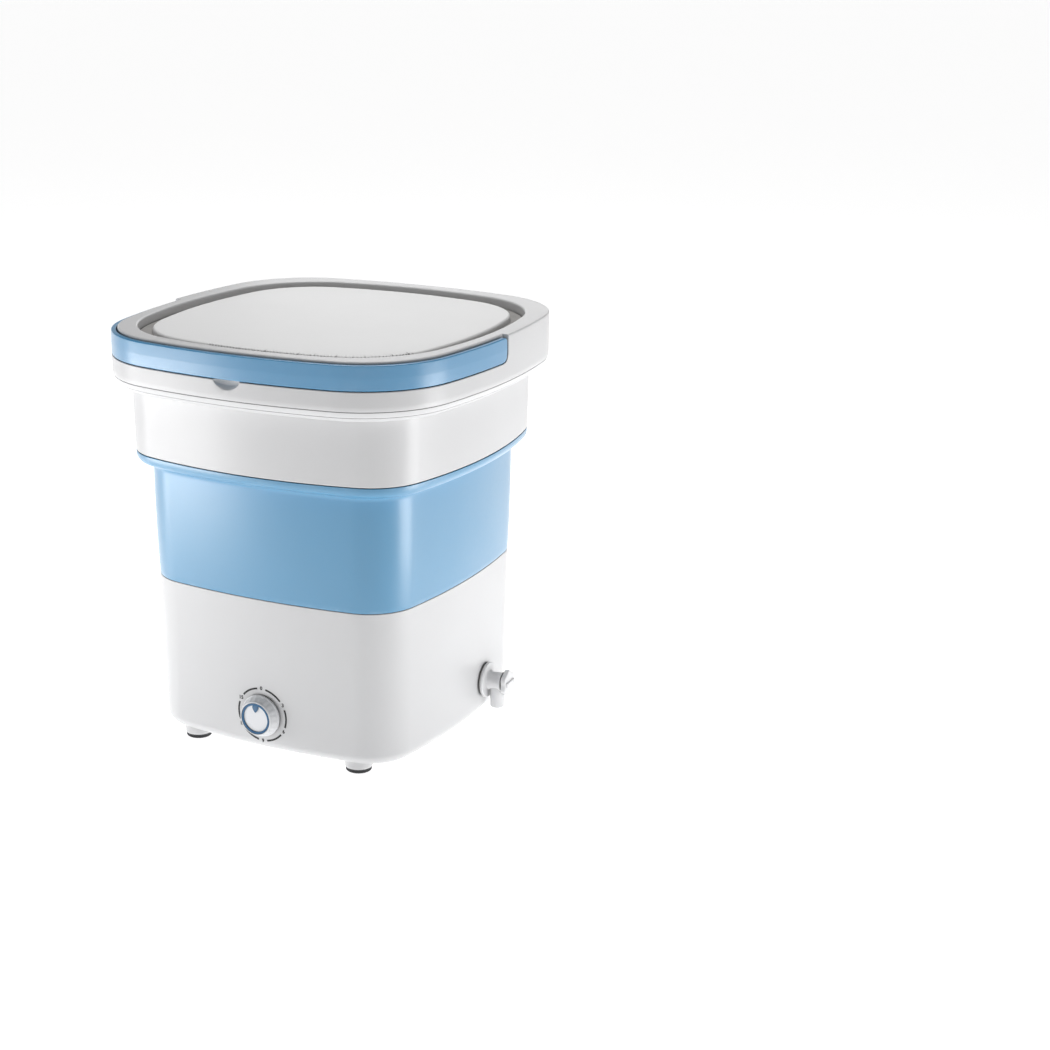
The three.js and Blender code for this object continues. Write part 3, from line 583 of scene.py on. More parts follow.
WALL_AT_KNOB = -shell_half(KNOB_Z)
WALL_AT_SOCKET = shell_half(SOCKET_Z)
WALL_AT_TAP = shell_half(TAP_Z) - fall(BODY, shell_half(TAP_Z), TAP_Y)
TAP_TURN = math.asin(TAP_Y / (shell_half(TAP_Z) + BODY[0]))
TAP_AXIS = Matrix.Rotation(TAP_TURN, 3, "Z") @ ALONG_X
TAP_SQUARE = Matrix.Rotation(TAP_TURN, 3, "Z")
DRAIN_REACH = 34.0  # from the tap inwards to the tub's outlet
DRAIN = (WALL_AT_TAP - DRAIN_REACH * math.cos(TAP_TURN), TAP_Y - DRAIN_REACH * math.sin(TAP_TURN))


def base_shell():
    lip, step, pierce = 0.7, 0.4, 9
    bend_z = SHELL_BOTTOM + FILLET
    bend = shell_half(bend_z) - FILLET
    top = SHELL_TOP - lip
    inner = SHELL_HALF - WALL
    profile = [(COVER_HALF + 0.6, SHELL_BOTTOM + step), (COVER_HALF + 1.0, SHELL_BOTTOM)]
    profile += arc(bend, bend_z, FILLET, FILLET, -90, 0, 14)
    profile += between((shell_half(bend_z), bend_z), (SHELL_HALF, top), 8)
    profile += arc(SHELL_HALF - lip, top, lip, lip, 0, 90, 4)
    profile += arc(inner + lip, top, lip, lip, 90, 180, 4)
    profile += between((inner, top), (bend + FILLET - WALL, bend_z), 4)
    profile += arc(bend, bend_z, FILLET - WALL, FILLET - WALL, 0, -90, 8)
    shelf = SHELL_BOTTOM + WALL
    profile += [
        (COVER_HALF + 4, shelf), (COVER_HALF + 4, shelf + WALL), (COVER_HALF - 8, shelf + WALL),
        (COVER_HALF - 8, shelf + step), (COVER_HALF + 0.6, shelf + step),
    ]
    body = swept("base_shell", profile, BODY)
    stubs = [(11.0, 3.8), (11.4, 4.3), (11.5, 5.0), (11.5, 20)]
    bosses = [move(turned("tool", stubs, 48), (x, y, 0)) for x, y in FEET.values()]
    bosses += on_each(COVER_SCREWS, 4.5, shelf + step, 24)
    join(body, gathered(bosses))
    holes = on_each(FEET.values(), 4.4, 0, 9.6, 32) + on_each(COVER_SCREWS, SCREW_HOLE, 0, 21)
    holes.append(move(rod(5, -pierce, pierce), (0, WALL_AT_KNOB, KNOB_Z), OUT_FRONT))
    holes.append(move(rod(5.9, -pierce, pierce), (0, WALL_AT_SOCKET, SOCKET_Z), OUT_BACK))
    holes.append(move(rod(8, -pierce, pierce), (WALL_AT_TAP, TAP_Y, TAP_Z), TAP_AXIS))
    cut(body, gathered(holes))
    keep(body, "housing", "base", SHELL_WHITE, ["base_shell"])


def bottom_cover():
    low, high, bevel = SHELL_BOTTOM + GAP, SHELL_BOTTOM + WALL, 0.5
    vent_x, vent_pitch, vent_length, vent_width = 38, 9, 32, 3.5
    profile = [(4, low), (70, low), (COVER_HALF - bevel, low), (COVER_HALF, low + bevel)]
    profile += [(COVER_HALF, high), (4, high)]
    plate = swept("cover", profile, BODY, closed=False)
    holes = on_each(COVER_SCREWS, SCREW_HOLE + 0.1, 0, 21)
    for side in (-1, 1):
        for row in range(-2, 3):
            x, y = side * vent_x, row * vent_pitch
            along = (x - vent_length / 2, x + vent_length / 2)
            holes.append(block(along, (y - vent_width / 2, y + vent_width / 2), (0, 20)))
    cut(plate, gathered(holes))
    keep(plate, "service_cover", "base", SHELL_WHITE, ["bottom_cover"])


def foot(corner, x, y):
    """A rubber foot: a pad with a groove round it, and a stub that plugs into the base."""
    profile = [(0, 0), (8.9, 0), (9.6, 0.15), (10.2, 0.6), (10.6, 1.2), (10.6, 1.7), (10.35, 1.9)]
    profile += [(10.35, 2.2), (10.6, 2.4), (10.6, 3.2), (10.3, 3.5), (3.9, 3.5), (3.7, 8.6)]
    profile += [(3.2, 9.2), (0, 9.2)]
    pad = move(turned("foot", profile, 56), (x, y, 0))
    keep(pad, f"pad_{corner}", "base", FOOT_RUBBER, [f"foot_{corner}"])


def soft_wall():
    """The folding wall: thin, so that it can turn over on itself as the tub is pushed down."""
    low, neck, flare, shoulder, thick = SHELL_TOP + GAP, 229.6, 6.0, 7.0, 1.3
    shelf, top = 235.6, SKIRT_BOTTOM - GAP
    neck_half, foot_half = 125.3, SHELL_HALF
    out = SKIRT_HALF - shoulder
    flange = SHELL_HALF - 9

    def wall_half(z):
        share = max(0.0, min(1.0, (z - low) / (neck - low)))
        return foot_half + (neck_half - foot_half) * (1 - (1 - share) ** 2.2)

    levels = [low + (neck - low) * i / 44 for i in range(45)]
    outer = [(flange, low), (foot_half - 0.3, low)]
    outer += [(wall_half(z), z) for z in levels if z > low + 0.2]
    outer += arc(neck_half + flare, shelf - flare, flare, flare, 180, 90, 10)[1:]
    outer += arc(out, shelf + shoulder, shoulder, shoulder, -90, 0, 10)
    outer += [(SKIRT_HALF, top - 0.3), (SKIRT_HALF - 0.3, top), (SKIRT_HALF - 2, top)]
    inner = arc(out, shelf + shoulder, shoulder - thick, shoulder - thick, 0, -90, 10)
    inner += arc(neck_half + flare, shelf - flare, flare + thick, flare + thick, 90, 180, 10)
    inner += [(wall_half(z) - thick, z) for z in reversed(levels[1:-1])]
    inner += [(foot_half - thick - 0.4, low + thick), (flange, low + thick)]

    def shape(half, z):
        share = max(0.0, min(1.0, (half - neck_half) / (SKIRT_HALF - neck_half)))
        return BODY + (SKIRT - BODY) * share

    wall = swept("soft_wall", outer + inner, shape)
    keep(wall, "soft_wall", None, SOFT_BLUE, ["bellows"], weighted=False)
    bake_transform(wall)


def tub():
    low, flange = TUB_FLOOR - WALL, SHELL_TOP - GAP
    foot_half, lip, corner = 114.5, 116.5, 12.0
    bend = low + corner
    outer = SHELL_HALF - WALL - 0.6
    profile = [(outer, flange - 0.3), (outer, flange - WALL), (lip, flange - WALL)]
    profile += between((lip, flange - WALL), (foot_half, bend), 5)
    profile += arc(foot_half - corner, bend, corner, corner, 0, -90, 8)
    profile += [(60, low), (16, low), (16, TUB_FLOOR), (60, TUB_FLOOR)]
    profile += arc(foot_half - corner, bend, corner - WALL, corner - WALL, -90, 0, 8)
    profile += between((foot_half - WALL, bend), (lip - WALL, flange - 1), 6)
    profile += [(lip - WALL, flange - 1), (lip - WALL + 0.7, flange), (outer - 0.3, flange)]
    body = swept("tub", profile, BODY)
    bore = 11.3
    hub = [(bore, low - 0.4), (24, low - 0.4), (24, TUB_FLOOR + 0.2), (23.8, TUB_FLOOR + 0.4)]
    hub.append((bore, TUB_FLOOR + 0.4))
    stem = [(bore, 40), (bore + WALL, 40), (bore + WALL, TUB_FLOOR - 1), (bore, TUB_FLOOR - 1)]
    join(body, turned("tool", hub, 48, closed=True))
    join(body, turned("tool", stem, 48, closed=True))
    posts = on_each(POSTS, 5, 28.6, low + 1, 32) + on_each([DRAIN], 7.5, 50.4, low + 1, 48)
    join(body, gathered(posts))
    cut(body, gathered(on_each(POSTS, SCREW_HOLE, 20, 40) + on_each([DRAIN], 5, 30, 70, 32)))
    keep(body, "tub", "base", TUB_WHITE, ["inner_tub"])


def pulsator():
    z = TUB_FLOOR + 1.2
    top = z + 7
    profile = [(4.15, z), (79.6, z), (80.3, z + 0.5), (80.5, z + 1.4), (79.8, z + 2.6), (78, z + 3.4)]
    profile += [(50, z + 4.1), (26, z + 4.9), (21, z + 6.4), (17, z + 9.6), (14, z + 11.6), (9.6, z + 12.9)]
    profile += [(7, z + 13), (6.4, z + 12.4), (6.4, z + 10), (2.3, z + 10)]
    profile += [(2.3, top + GAP), (4.15, top + GAP)]
    disc = turned("disc", profile, 96, closed=True)
    count, steps = 6, 16
    vanes = []
    for i in range(count):
        rows = []
        for step in range(steps + 1):
            x = 14 + 61 * step / steps
            share = step / steps
            swell = 2.2 * math.sin(math.pi * min(1, share * 1.5))
            height = 10.4 + swell - 7.5 * max(0, share - 0.75) * 4 * share
            thin = 3.0 - 1.2 * max(0, share - 0.6)
            side = [(thin + 0.6, z + 2.5), (thin, z + height * 0.7), (thin * 0.62, z + height * 0.95)]
            row = [(x, -y, up) for y, up in side] + [(x, 0, z + height)]
            rows.append(row + [(x, y, up) for y, up in side[::-1]])
        vane = skin("vane", rows, wrap_rows=False)
        vanes.append(move(vane, turn=Matrix.Rotation(i * 2 * math.pi / count, 3, "Z")))
    join(disc, gathered(vanes))
    softened(disc, 0.5, 40)
    keep(disc, "pulsator", "agitator", GLOSS_BLUE, ["impeller"])


# -------- upper half


def skirt():
    lip = RIM_BOTTOM - 30
    profile = [(SKIRT_HALF, SKIRT_BOTTOM, 1.2), (141.2, lip), (SKIRT_TOP_HALF, RIM_BOTTOM),
               (SKIRT_TOP_HALF, SKIRT_TOP, 0.5), (SKIRT_TOP_HALF - WALL, SKIRT_TOP, 0.5),
               (SKIRT_TOP_HALF - WALL, RIM_BOTTOM), (SKIRT_HALF - WALL, SKIRT_BOTTOM, 1.0)]
    body = swept("skirt", rounded(profile), SKIRT)
    keep(body, "skirt", "upper", SHELL_WHITE, ["upper_skirt"])


def rim_shape(half, z):
    """The mouth's section inside, the rim's own outside and below the lid's ledge."""
    share = max(0.0, min(1.0, (half - 143.5) / 5.5))
    share = 1.0 if z < LID_LEDGE and half > 131 else share
    return MOUTH + (RIM - MOUTH) * share


def rim():
    """One grid whose front half steps in behind the handle; rows pair the full and recessed walls."""
    lip, root, crown = 0.8, 0.7, 1.5
    collar, rise = 144.5, 14.2
    groove_width, groove_depth = 1.5, 1.1  # degrees either side, millimetres
    shoulder = RIM_BOTTOM + rise
    reach = RIM_HALF - collar
    joint = SKIRT_TOP_HALF + 0.6
    under, start = [(joint, RIM_BOTTOM + 0.3), (SKIRT_TOP_HALF + 0.9, RIM_BOTTOM)], -90
    for z in GROOVES:
        groove = math.degrees(math.asin((z - shoulder) / rise))
        under += arc(collar, shoulder, reach, rise, start, groove - groove_width, 6)
        under += arc(collar, shoulder, reach - groove_depth, rise - groove_depth, groove, groove, 1)[:1]
        start = groove + groove_width
    under += arc(collar, shoulder, reach, rise, start, 0, 6)
    under += between((RIM_HALF, shoulder), (RIM_HALF, LEDGE - lip), 3)
    pairs = [(p, p, "out") for p in under]
    stepped = arc(RIM_HALF - lip, LEDGE - lip, lip, lip, 0, 90, 6)
    stepped += between((RIM_HALF - lip, LEDGE), (INSET_HALF + root, LEDGE), 5)
    stepped += arc(INSET_HALF + root, LEDGE + root, root, root, -90, -180, 5)
    straight = [LEDGE - lip + (lip + root) * i / (len(stepped) - 1) for i in range(len(stepped))]
    pairs += [((RIM_HALF, z), p, "out") for z, p in zip(straight, stepped)]
    for z in (324.6, 326.2, 328.2, 330.4, 333, 336, 339, 342):
        pairs.append(((RIM_HALF, z), (INSET_HALF, z), "out"))
    for full, inset in zip(arc(RIM_HALF - crown, TOP - crown, crown, crown, 0, 90, 5),
                           arc(INSET_HALF - crown, TOP - crown, crown, crown, 0, 90, 5)):
        pairs.append((full, inset, "out"))
    for half in (149.8, 147, 145):
        pairs.append(((half, TOP), (half, TOP), "top"))
    mouth = arc(MOUTH_HALF + crown, TOP - crown, crown, crown, 90, 180, 5)
    mouth += rounded([(MOUTH_HALF, 343), (MOUTH_HALF, LID_LEDGE, 0.6), (127.5, LID_LEDGE, 0.6),
                      (127.5, LEDGE - 1), (130.5, LEDGE - 1), (130.5, 331), (146, 331)], 3, closed=False)
    pairs += [(p, p, "in") for p in mouth + [(146, 342)]]
    behind, behind_band = 154.5, 149.2
    for full_z, inset_z in ((342, 342), (331, 331), (322, 320)):
        pairs.append(((behind, full_z), (behind_band, inset_z), "in"))
    lining = [(behind, 319.9)] + arc(collar, shoulder, reach - WALL, rise - WALL, 0, -90, 6)
    pairs += [(p, p, "in") for p in lining + [(joint, RIM_BOTTOM + WALL)]]

    near_end = [-26, -22, -18, -15, -12, -9, -6.5, -4.5, -3, -2, -1, 0, 0.8, 1.3, END_Y, END_Y + 0.1]
    near_end += [END_Y + 0.6, 3, END_Y + 3, END_Y + 3.3, 6, 9, 12, 16, 20, 25]
    scoop_x, scoop_z = -1.5, LEDGE + 0.4
    across = [scoop_x + 14.5 * i / 24 for i in range(-24, 25)]
    at = stations([(0, v) for v in near_end] + [(2, -v) for v in near_end] + [(3, v) for v in across])

    def end_shift(z):
        """How far the recess's lower corner draws its end back at a height."""
        if z >= LEDGE + END_R:
            return 0.0
        drop = LEDGE + END_R - max(z, LEDGE)
        return math.sqrt(max(0.0, END_R ** 2 - drop ** 2)) - END_R

    def share(station, kind):
        """1 where the wall is recessed, 0 where it is full."""
        side, sort, value = station
        if sort == "u":
            return 1.0 if side in (2, 3) else 0.0
        y = value if side == 0 else -value if side == 2 else (-99 if side == 3 else 99)
        if kind == "in":
            return 1.0 if y <= END_Y + 3.01 else 0.0
        if kind == "top":
            return 0.0
        return 1.0 if y <= END_Y + 0.01 else 0.05 if y <= END_Y + 0.2 else 0.0

    rows = []
    for full, inset, kind in pairs:
        row = []
        for station in at:
            w = share(station, kind)
            half, z = (full[k] * (1 - w) + inset[k] * w for k in (0, 1))
            side, sort, value = station
            if sort == "v" and side in (0, 2) and kind == "out" and LEDGE - 1.5 < z:
                y = value if side == 0 else -value
                fade = 1 - abs(y - END_Y) / (MIDDLE + END_Y if y < END_Y else MIDDLE - END_Y)
                y += end_shift(inset[1]) * max(0.0, fade)
                station = (side, "v", y if side == 0 else -y)
            x, y = spot(rim_shape(half, z), half, station)
            row.append((x, y, z))
        rows.append(row)
    # The finger scoop: points inside an ellipsoid go out to its surface.
    centre, size = Vector((scoop_x, -158.7, scoop_z)), Vector((12.5, 6.2, 7.5))
    for row in rows:
        for j, (x, y, z) in enumerate(row):
            if y > -150 or abs(x - scoop_x) > 13 or z < 310:
                continue
            away = Vector(((x - centre.x) / size.x, (y - centre.y) / size.y, (z - centre.z) / size.z))
            if 1e-6 < away.length < 1 and z <= LEDGE + 0.01:
                away.normalize()
                row[j] = tuple(centre[k] + away[k] * size[k] for k in range(3))
    body = skin("rim", rows, 35)
    holes = [move(rod(4.6, low, low + 12, 40), (0, PIVOT_Y, PIVOT_Z), ALONG_X) for low in (144, -156)]
    cut(body, gathered(holes))
    keep(body, "rim_ring", "upper", SHELL_WHITE, ["rim"])


def lid():
    """The lid, with teeth cut into the front edge of its raised panel, and a grey ring round that panel
    that paints the groove's shade.
    """
    crown, dome, brim, skirt_z, turn = 344.4, 1.3, 141.3, 334.4, 2.4
    profile = [(half, crown - dome * (half / 118) ** 2) for half in (4, 25, 45, 65, 85, 100, 110, 118, 124)]
    profile += arc(PANEL_HALF - turn, 340.3, turn, turn, 80, 0, 7)
    profile += rounded([(PANEL_HALF, 339.5), (PANEL_HALF, 337, 0.8), (141.0, 337, 0.8), (brim, 335.5),
                        (brim, skirt_z)], 3, closed=False)
    profile += [(125.8, skirt_z), (125.8, 326), (123.2, 326), (123.2, 337), (120, 339.6), (60, 341.2)]
    profile.append((4, 341.3))
    step, depth, drop = 0.7, 1.4, 0.5  # a tooth and its gap take four steps
    trail = [(2, "u", 0.8 + 0.2 * i / 100) for i in range(100)]
    trail += [(3, "v", -MIDDLE + 60 * i / 200) for i in range(201)]
    trail += [(3, "u", i / 600) for i in range(1, 600)]
    trail += [(0, "v", -MIDDLE + 4 * i / 20) for i in range(1, 20)]
    points = [spot(MOUTH, PANEL_HALF, s) for s in trail]
    along = np.concatenate([[0], np.cumsum([math.dist(a, b) for a, b in zip(points, points[1:])])])
    first = next(a for a, p in zip(along, points) if p[0] > -38)
    last = next(a for a, p in zip(along, points) if p[1] > -82 and p[0] > 0)
    count = int((last - first) / step)
    teeth = {}
    for i in range(count):
        station = trail[int(np.searchsorted(along, first + i * step))]
        teeth[station] = (i % 4) in (1, 2)
    around = [s for s in ROUND_STATIONS if s not in teeth] + list(teeth)

    def order(station):
        side, sort, value = station
        return (side, 0, value) if sort == "v" else (side, 1, value)

    around.sort(key=order)
    rows = []
    for half, z in profile:
        row = []
        for station in around:
            gap = teeth.get(station) is False and half > 127.3 and z > 337.3
            x, y = spot(MOUTH, half - depth * gap * min(1, (half - 127.3) / 2), station)
            row.append((x, y, z - (drop * gap if half > 128 else 0)))
        rows.append(row)
    cover = skin("lid", rows, 38, wrap_rows=False)
    inside = PANEL_HALF - 1.6
    # A thin grey ring laid flat in the groove round the panel: painted shade standing in for the groove's
    # shadow.
    groove_shade_ring = rounded([(inside, 336.6), (inside, 337.6, 0.2), (141.0, 337.4, 0.4), (141.4, 336.6, 0.3)], 3)
    keep(swept("groove_shade_ring", groove_shade_ring, MOUTH), "lid_groove_shade", "lid", GROOVE_SHADE_GREY)
    keep(cover, "lid_panel", "lid", LID_WHITE, ["lid"])


def band():
    """The carrying handle: a band round the front half of the rim, pinned at both ends."""
    inner, outer = RIM_HALF - 4.1, RIM_HALF
    lower, upper, soft = 6.0, 4.0, 1.0  # corners of the end, and the rounding of the band's edges
    ends = [0, 0.08, 0.25, 0.5, 0.8, 1.2, 1.7, 2.3, 3, 3.8, 4.6, 5.4, 6.2, 7.4, 9, 11, 14, 18, 22, 26]
    trail = [(2, "v", d) for d in ends] + [(2, "v", MIDDLE)]
    trail += [s for s in ROUND_STATIONS if s[:2] == (2, "u") or s[0] == 3]
    trail += [(0, "v", -MIDDLE)] + [(0, "v", -d) for d in reversed(ends)]

    def drawn_in(radius, back):
        """How far a corner has drawn in at a distance back from the band's end."""
        return radius - math.sqrt(max(0, radius ** 2 - (radius - back) ** 2)) if back < radius else 0

    columns = []
    for station in trail:
        side, sort, value = station
        back = abs(value) if sort == "v" and side in (0, 2) else 99
        inset = drawn_in(soft, back)
        corner = max(0.15, soft - inset * 0.8)
        a, b = inner + inset * 0.9, outer - inset * 0.9
        c = min(BAND_LOW + drawn_in(lower, back), BAND_LOW + lower * 0.93) + inset * 0.5
        d = max(BAND_TOP - drawn_in(upper, back), BAND_TOP - upper * 0.93) - inset * 0.5
        ring = rounded([(a, c, corner * 0.6), (b - 0.2, c, corner), (b, (c + d) / 2, 3),
                        (b - 0.2, d, corner), (a, d, corner * 0.6)])
        columns.append([(*spot(RIM, half, station), z) for half, z in ring])
    body = skin("band", list(zip(*columns)), 40, wrap_columns=False)
    pins = []
    for turn in (Matrix.Rotation(math.pi, 3, "Z") @ ALONG_X, ALONG_X):
        pin = turned("tool", [(2.3, 146.4), (2.6, 146.7), (2.6, 148.3), (4.1, 148.3), (4.1, 155)], 40)
        pins.append(move(pin, (0, PIVOT_Y, PIVOT_Z), turn))
    join(body, gathered(pins))
    keep(body, "carry_band", "handle", GLOSS_BLUE, ["handle"])


# -------- tap


def at_tap(obj, along=0.0, turn=None):
    """Puts a piece made round the tap's own axis, or upright at a distance along it."""
    shift = (WALL_AT_TAP + along * math.cos(TAP_TURN), TAP_Y + along * math.sin(TAP_TURN), TAP_Z)
    return move(obj, shift, turn or TAP_AXIS)


def tap():
    barrel = [(7.2, -21.4), (7.5, -21), (7.5, 1.9)]
    flange = [(14.4, 2.1), (15, 2.4), (15, 3.7), (14.5, 4.4), (13.6, 4.6), (9.4, 4.7)]
    nose = [(8.2, 5.3), (7.6, 6.6), (7.5, 8), (7.5, 14.5), (7.8, 15.6), (8.2, 16.5), (8.1, 17)]
    body = at_tap(turned("tap", barrel + flange + nose))
    low, spout_at, bore = 15.5 - TAP_Z, 12, 5.6
    spout = [(5.4, low), (6.0, low + 0.4), (6.2, low + 1.3), (6.1, low + 5), (6.1, -4), (6.4, 0)]
    join(body, at_tap(turned("tool", spout, 48), spout_at, TAP_SQUARE))
    drain = at_tap(rod(4.4, -TAP_Z, 0), spout_at, TAP_SQUARE)
    cut(body, at_tap(rod(4.6, -24, 6)), at_tap(rod(bore, 5.5, 20)), drain)
    softened(body, 0.35, 60)
    keep(body, "tap", "base", TAP_WHITE, ["tap_body"])
    ring = rounded([(7.9, 0.8), (13.6, 0.8, 0.3), (13.6, 1.8, 0.3), (7.9, 1.8)], 3)
    washer = at_tap(turned("washer", ring, 56, closed=True))
    keep(washer, "tap_washer", "base", SEAL_PALE, ["tap_seal"])

    def lobes(radius, z, angle):
        return (0.8 * math.cos(6 * angle) - 0.8) * min(1, radius / 9)

    disc = [(bore, 18.6), (10.4, 18.6), (11.1, 18.9), (11.4, 19.5), (11.4, 22.0), (11.1, 22.7)]
    disc += [(10.4, 23), (4, 23.1)]
    wheel = turned("wheel", disc, 96, lobes)
    grip = block((-2, 2), (-8.5, 8.5), (22, 24.6))
    softened(grip, 0.8, 50, 3)
    join(wheel, grip)
    cut(wheel, rod(bore, 17, 21.3))
    at_tap(wheel)
    keep(wheel, "tap_wheel", "tap_valve", TAP_WHITE, ["tap_handle"])


# -------- knob and its printed scale


def at_knob(obj):
    return move(obj, (0, WALL_AT_KNOB, KNOB_Z), OUT_FRONT)


def knob():
    front = KNOB_DEPTH + 1.4
    brow, foot_z = front - 1.7, 3.6

    def grip(radius, z, angle):
        """Twenty shallow flutes round the side of the knob."""
        if not foot_z < z < brow or radius < 13:
            return 0.0
        fade = min(1, (z - foot_z) / 1.5, (brow - z) / 0.8)
        return -0.42 * (0.5 + 0.5 * math.cos(20 * angle)) ** 2 * fade

    profile = [(0, front - 1.8), (13.3, front - 1.8), (13.3, front - 0.15), (13.45, front), (13.8, front)]
    profile += [(14.15, front - 0.25), (14.4, front - 0.9), (14.5, brow)]
    profile += between((14.5, brow), (16.6, 4.0), 8)
    profile += [(16.8, foot_z), (17.35, 3.3), (17.6, 2.6), (17.6, 1.8), (17.3, 1.4), (15.2, 1.4)]
    profile += [(12.4, front - 4.6), (5.6, front - 4.6), (5.6, 3.2), (3.3, 3.2), (3.3, front - 3.8)]
    profile.append((0, front - 3.8))
    body = at_knob(turned("knob", profile, 160, grip))
    keep(body, "dial_knob", "timer_dial", KNOB_WHITE, ["knob"])
    body.data.materials.append(KNOB_SIDE)
    for face in body.data.polygons:
        outwards = Vector((face.center.x, 0, face.center.z - KNOB_Z * MM))
        radial = outwards.length
        steep = abs(face.normal.y) < 0.6
        face.material_index = 1 if steep and radial > 13.9 * MM and face.normal.dot(outwards) > 0 else 0
    edge_of_cap = [(12.75, -0.1), (12.9, 0), (12.9, 0.15), (12.7, 0.3), (8, 0.34), (3, 0.36)]
    cap = at_knob(turned("cap", [(r, KNOB_DEPTH + z) for r, z in edge_of_cap], 96))
    keep(cap, "dial_cap", "timer_dial", KNOB_WHITE, ["knob_cap"])
    low, high = KNOB_DEPTH + 0.6, KNOB_DEPTH + 1.2
    band_section = rounded([(11.2, low), (13, low), (13, high, 0.25), (11.2, high, 0.25)], 3)
    circle = turned("ring", band_section, 128, closed=True)
    side = [(0, 5.1), (0.7, 5.7), (1.6, 6.8), (2.4, 8.3), (2.75, 9.6), (2.5, 10.9), (1.9, 11.9)]
    outline = side + [(-x, y) for x, y in reversed(side) if x]
    drop = skin("drop", [[(x, y, z) for x, y in outline] for z in (low, high - 0.02)], wrap_rows=False)
    join(circle, drop)
    at_knob(circle)
    keep(circle, "dial_ring", "timer_dial", DEEP_BLUE, ["knob_ring"])


def on_front_wall(obj):
    """Lays a flat print, drawn in X and Y with its thickness in Z, on the bowed front of the base."""
    lift = 0.06
    for vertex in obj.data.vertices:
        x, up, out = (c / MM for c in vertex.co)
        z = KNOB_Z + up
        half = shell_half(z)
        y = -(half - fall(BODY, half, x)) - out - lift
        vertex.co = Vector((x, y, z)) * MM
    return obj


def dial_scale():
    """Six numbers and the curved lines between them; the dial runs clockwise over 300 degrees."""
    radius, width, thick = 22.4, 0.75, 0.1  # width is to each side of the line's middle
    marks = []
    count, steps = 6, 20
    low, high = radius - width, radius + width
    for i in range(count):
        start, end = 60 * i + 10, 60 * i + 50
        angles = [math.radians(90 - start - (end - start) * k / steps) for k in range(steps + 1)]
        rows = []
        for r, z in ((low, 0), (high, 0), (high, thick), (low, thick)):
            rows.append([(r * math.cos(a), r * math.sin(a), z) for a in angles])
        marks.append(skin("mark", rows, wrap_columns=False))
    for i in range(count):
        curve = bpy.data.curves.new("figure", "FONT")
        curve.body = str(3 * i)
        curve.size = 4.3 * MM
        curve.align_x, curve.align_y = "CENTER", "CENTER"
        curve.extrude = thick / 2 * MM
        curve.offset = 0.14 * MM
        curve.resolution_u = 3
        text = placed("figure", curve)
        figure = placed("outline", evaluated(text))
        bpy.data.objects.remove(text)
        tidy(figure)
        angle = math.radians(90 - 60 * i)
        reach = radius + 0.4
        marks.append(move(figure, (reach * math.cos(angle), reach * math.sin(angle), thick / 2)))
    scale = on_front_wall(gathered(marks))
    tidy(scale)
    keep(scale, "dial_scale", "base", PRINT, weighted=False)


def inlet():
    """The 12 V barrel socket: collar, hollow and centre pin."""
    profile = [(0.01, -14), (5.5, -14, 0.4), (5.5, 0.5), (8, 0.5, 0.2), (8, 2.2, 0.5), (3.2, 2.2, 0.3)]
    profile += [(3.2, -9), (1.1, -9), (1.1, 0, 0.4), (0.01, 0)]
    body = turned("inlet", rounded(profile, closed=False))
    move(body, (0, WALL_AT_SOCKET, SOCKET_Z), OUT_BACK)
    keep(body, "power_inlet", "base", BLACK, ["power_socket"])


base_shell()
bottom_cover()
for name, (fx, fy) in FEET.items():
    foot(name, fx, fy)
soft_wall()
tub()
pulsator()
skirt()
rim()
lid()
band()
tap()
knob()
dial_scale()
inlet()

# Inner pieces keep their CAD shape and get their finish here.
SCREWS = [f"cover_screw_{i}" for i in (1, 2, 3, 4)] + [f"bracket_screw_{i}" for i in (1, 2, 3)]
SCREWS += ["impeller_screw", "motor_screw_1", "motor_screw_2"]
INNER = [
    (STEEL, SCREWS + ["motor_bracket", "shaft_bearing", "drive_shaft", "motor_shaft", "timer_shaft",
                      "switch_nut", "socket_nut", "pivot_clip_left", "pivot_clip_right"]),
    (GREY, ["motor_case"]),
    (BRASS, ["shaft_bush", "motor_pinion"]),
    (BLACK, ["gear_cover", "timer_switch"]),
    (SEAL_RUBBER, ["shaft_seal", "drain_hose"]),
    (NATURAL, ["drive_gear", "tap_plug"]),
    (TAP_WHITE, ["tap_nut"]),
    (LEAD_BLACK, ["socket_lead", "motor_lead"]),
    (GREEN, ["control_board"]),
]
FOLD = math.radians(40)  # edges steeper than this are rounded and stay crisp
for look, names in INNER:
    for name in names:
        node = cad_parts[name]
        node.data.materials.clear()
        node.data.materials.append(look)
        change = node.modifiers.new("edges", "BEVEL")
        change.width = 0.25 * MM
        change.segments = 2
        change.limit_method = "ANGLE"
        change.angle_limit = FOLD
        node.data.shade_smooth()
        node.data.set_sharp_from_angle(angle=FOLD)

# -------- camera, floor, light

scene = bpy.context.scene
scene.view_settings.view_transform = "Standard"

AZIMUTH, ELEVATION = math.radians(28.267), math.radians(16.874)
CAMERA_PLACE = (0.86657, -1.45127, 0.68233)
level = math.cos(ELEVATION)
back = Vector((math.sin(AZIMUTH) * level, -math.cos(AZIMUTH) * level, math.sin(ELEVATION)))
right = Vector((math.cos(AZIMUTH), math.sin(AZIMUTH), 0))
aim = Matrix((right, back.cross(right), back)).transposed().to_4x4()
camera = placed("camera", bpy.data.cameras.new("camera"))
camera.matrix_world = Matrix.Translation(CAMERA_PLACE) @ aim
camera.data.lens = 72.29
camera.data.shift_x, camera.data.shift_y = 0.093, -0.003
camera.data.clip_end = 200
scene.camera = camera

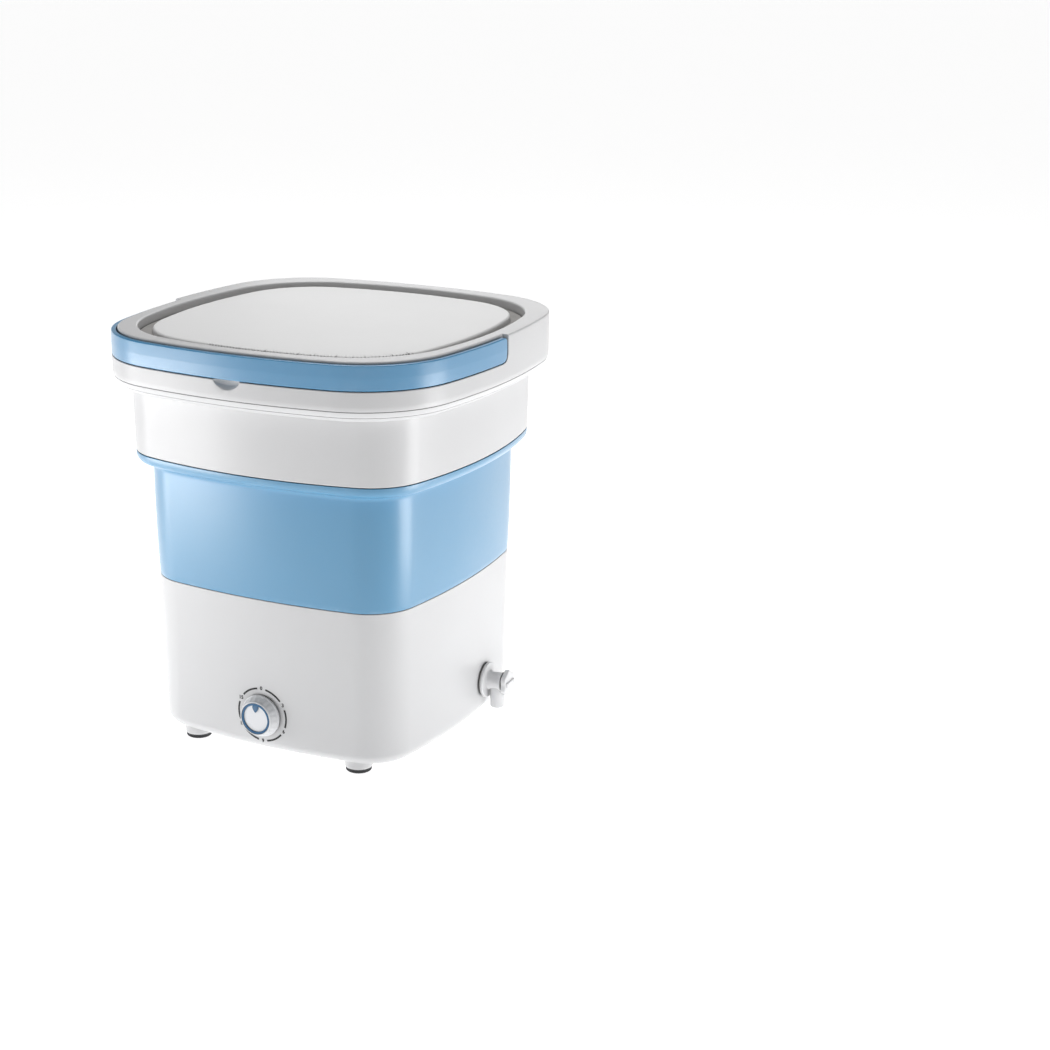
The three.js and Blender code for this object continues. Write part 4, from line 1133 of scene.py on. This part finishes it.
REACH = 60000  # half the floor's side, millimetres
corners = [(-REACH, -REACH, 0), (REACH, -REACH, 0), (REACH, REACH, 0), (-REACH, REACH, 0)]
floor = finished("floor", corners, [(0, 1, 2, 3)])
floor.location.z = -0.0002
surface = Nodes("floor")
clouds = surface.spread(surface.noise(1.5, 3), 0.0, 1.0)
tone = surface.mix(clouds, (0.93, 0.93, 0.93), (0.95, 0.95, 0.95))
surface.link(tone, surface.shader.inputs["Base Color"])
surface.link(surface.spread(surface.noise(20, 3), 0.6, 0.75), surface.shader.inputs["Roughness"])
surface.link(surface.bump(surface.noise(400, 2), 0.02, 0.0002), surface.shader.inputs["Normal"])
surface.shader.inputs["Emission Color"].default_value = (1, 1, 1, 1)
surface.shader.inputs["Emission Strength"].default_value = 0.86
floor.data.materials.append(surface.material)

# Bright at the horizon, darker overhead.
world = bpy.data.worlds.new("studio")
scene.world = world
world.use_nodes = True
sky = world.node_tree
split = sky.nodes.new("ShaderNodeSeparateXYZ")
height = sky.nodes.new("ShaderNodeMapRange")
height.interpolation_type = "SMOOTHSTEP"
for key, number in (("From Min", 0.0), ("From Max", 0.3), ("To Min", 2.5), ("To Max", 0.2)):
    height.inputs[key].default_value = number
sky.links.new(sky.nodes.new("ShaderNodeTexCoord").outputs["Generated"], split.inputs["Vector"])
sky.links.new(split.outputs["Z"], height.inputs["Value"])
sky.links.new(height.outputs["Result"], sky.nodes["Background"].inputs["Color"])
sky.nodes["Background"].inputs["Strength"].default_value = 0.4


def softbox(name, place, aim, wide, high, power):
    """An area light at a place, turned towards a point. Metres and watts."""
    light = bpy.data.lights.new(name, "AREA")
    light.shape = "RECTANGLE"
    light.size, light.size_y = wide, high
    light.energy = power
    obj = placed(name, light)
    obj.location = place
    obj.rotation_euler = (Vector(aim) - Vector(place)).to_track_quat("-Z", "Y").to_euler()
    obj.visible_camera = False


softbox("left", (-0.54, -0.46, 0.12), (-0.06, -0.1, 0.2), 0.46, 0.22, 1.55)
softbox("right", (0.56, 0.06, 0.12), (0.1, -0.08, 0.2), 0.26, 0.22, 0.8)
softbox("top", (-0.1, 0.2, 1.7), (0, 0, 0.3), 1.2, 1.2, 20)
softbox("rear", (-0.35, 0.85, 0.6), (0, 0, 0.2), 0.5, 0.7, 0.8)
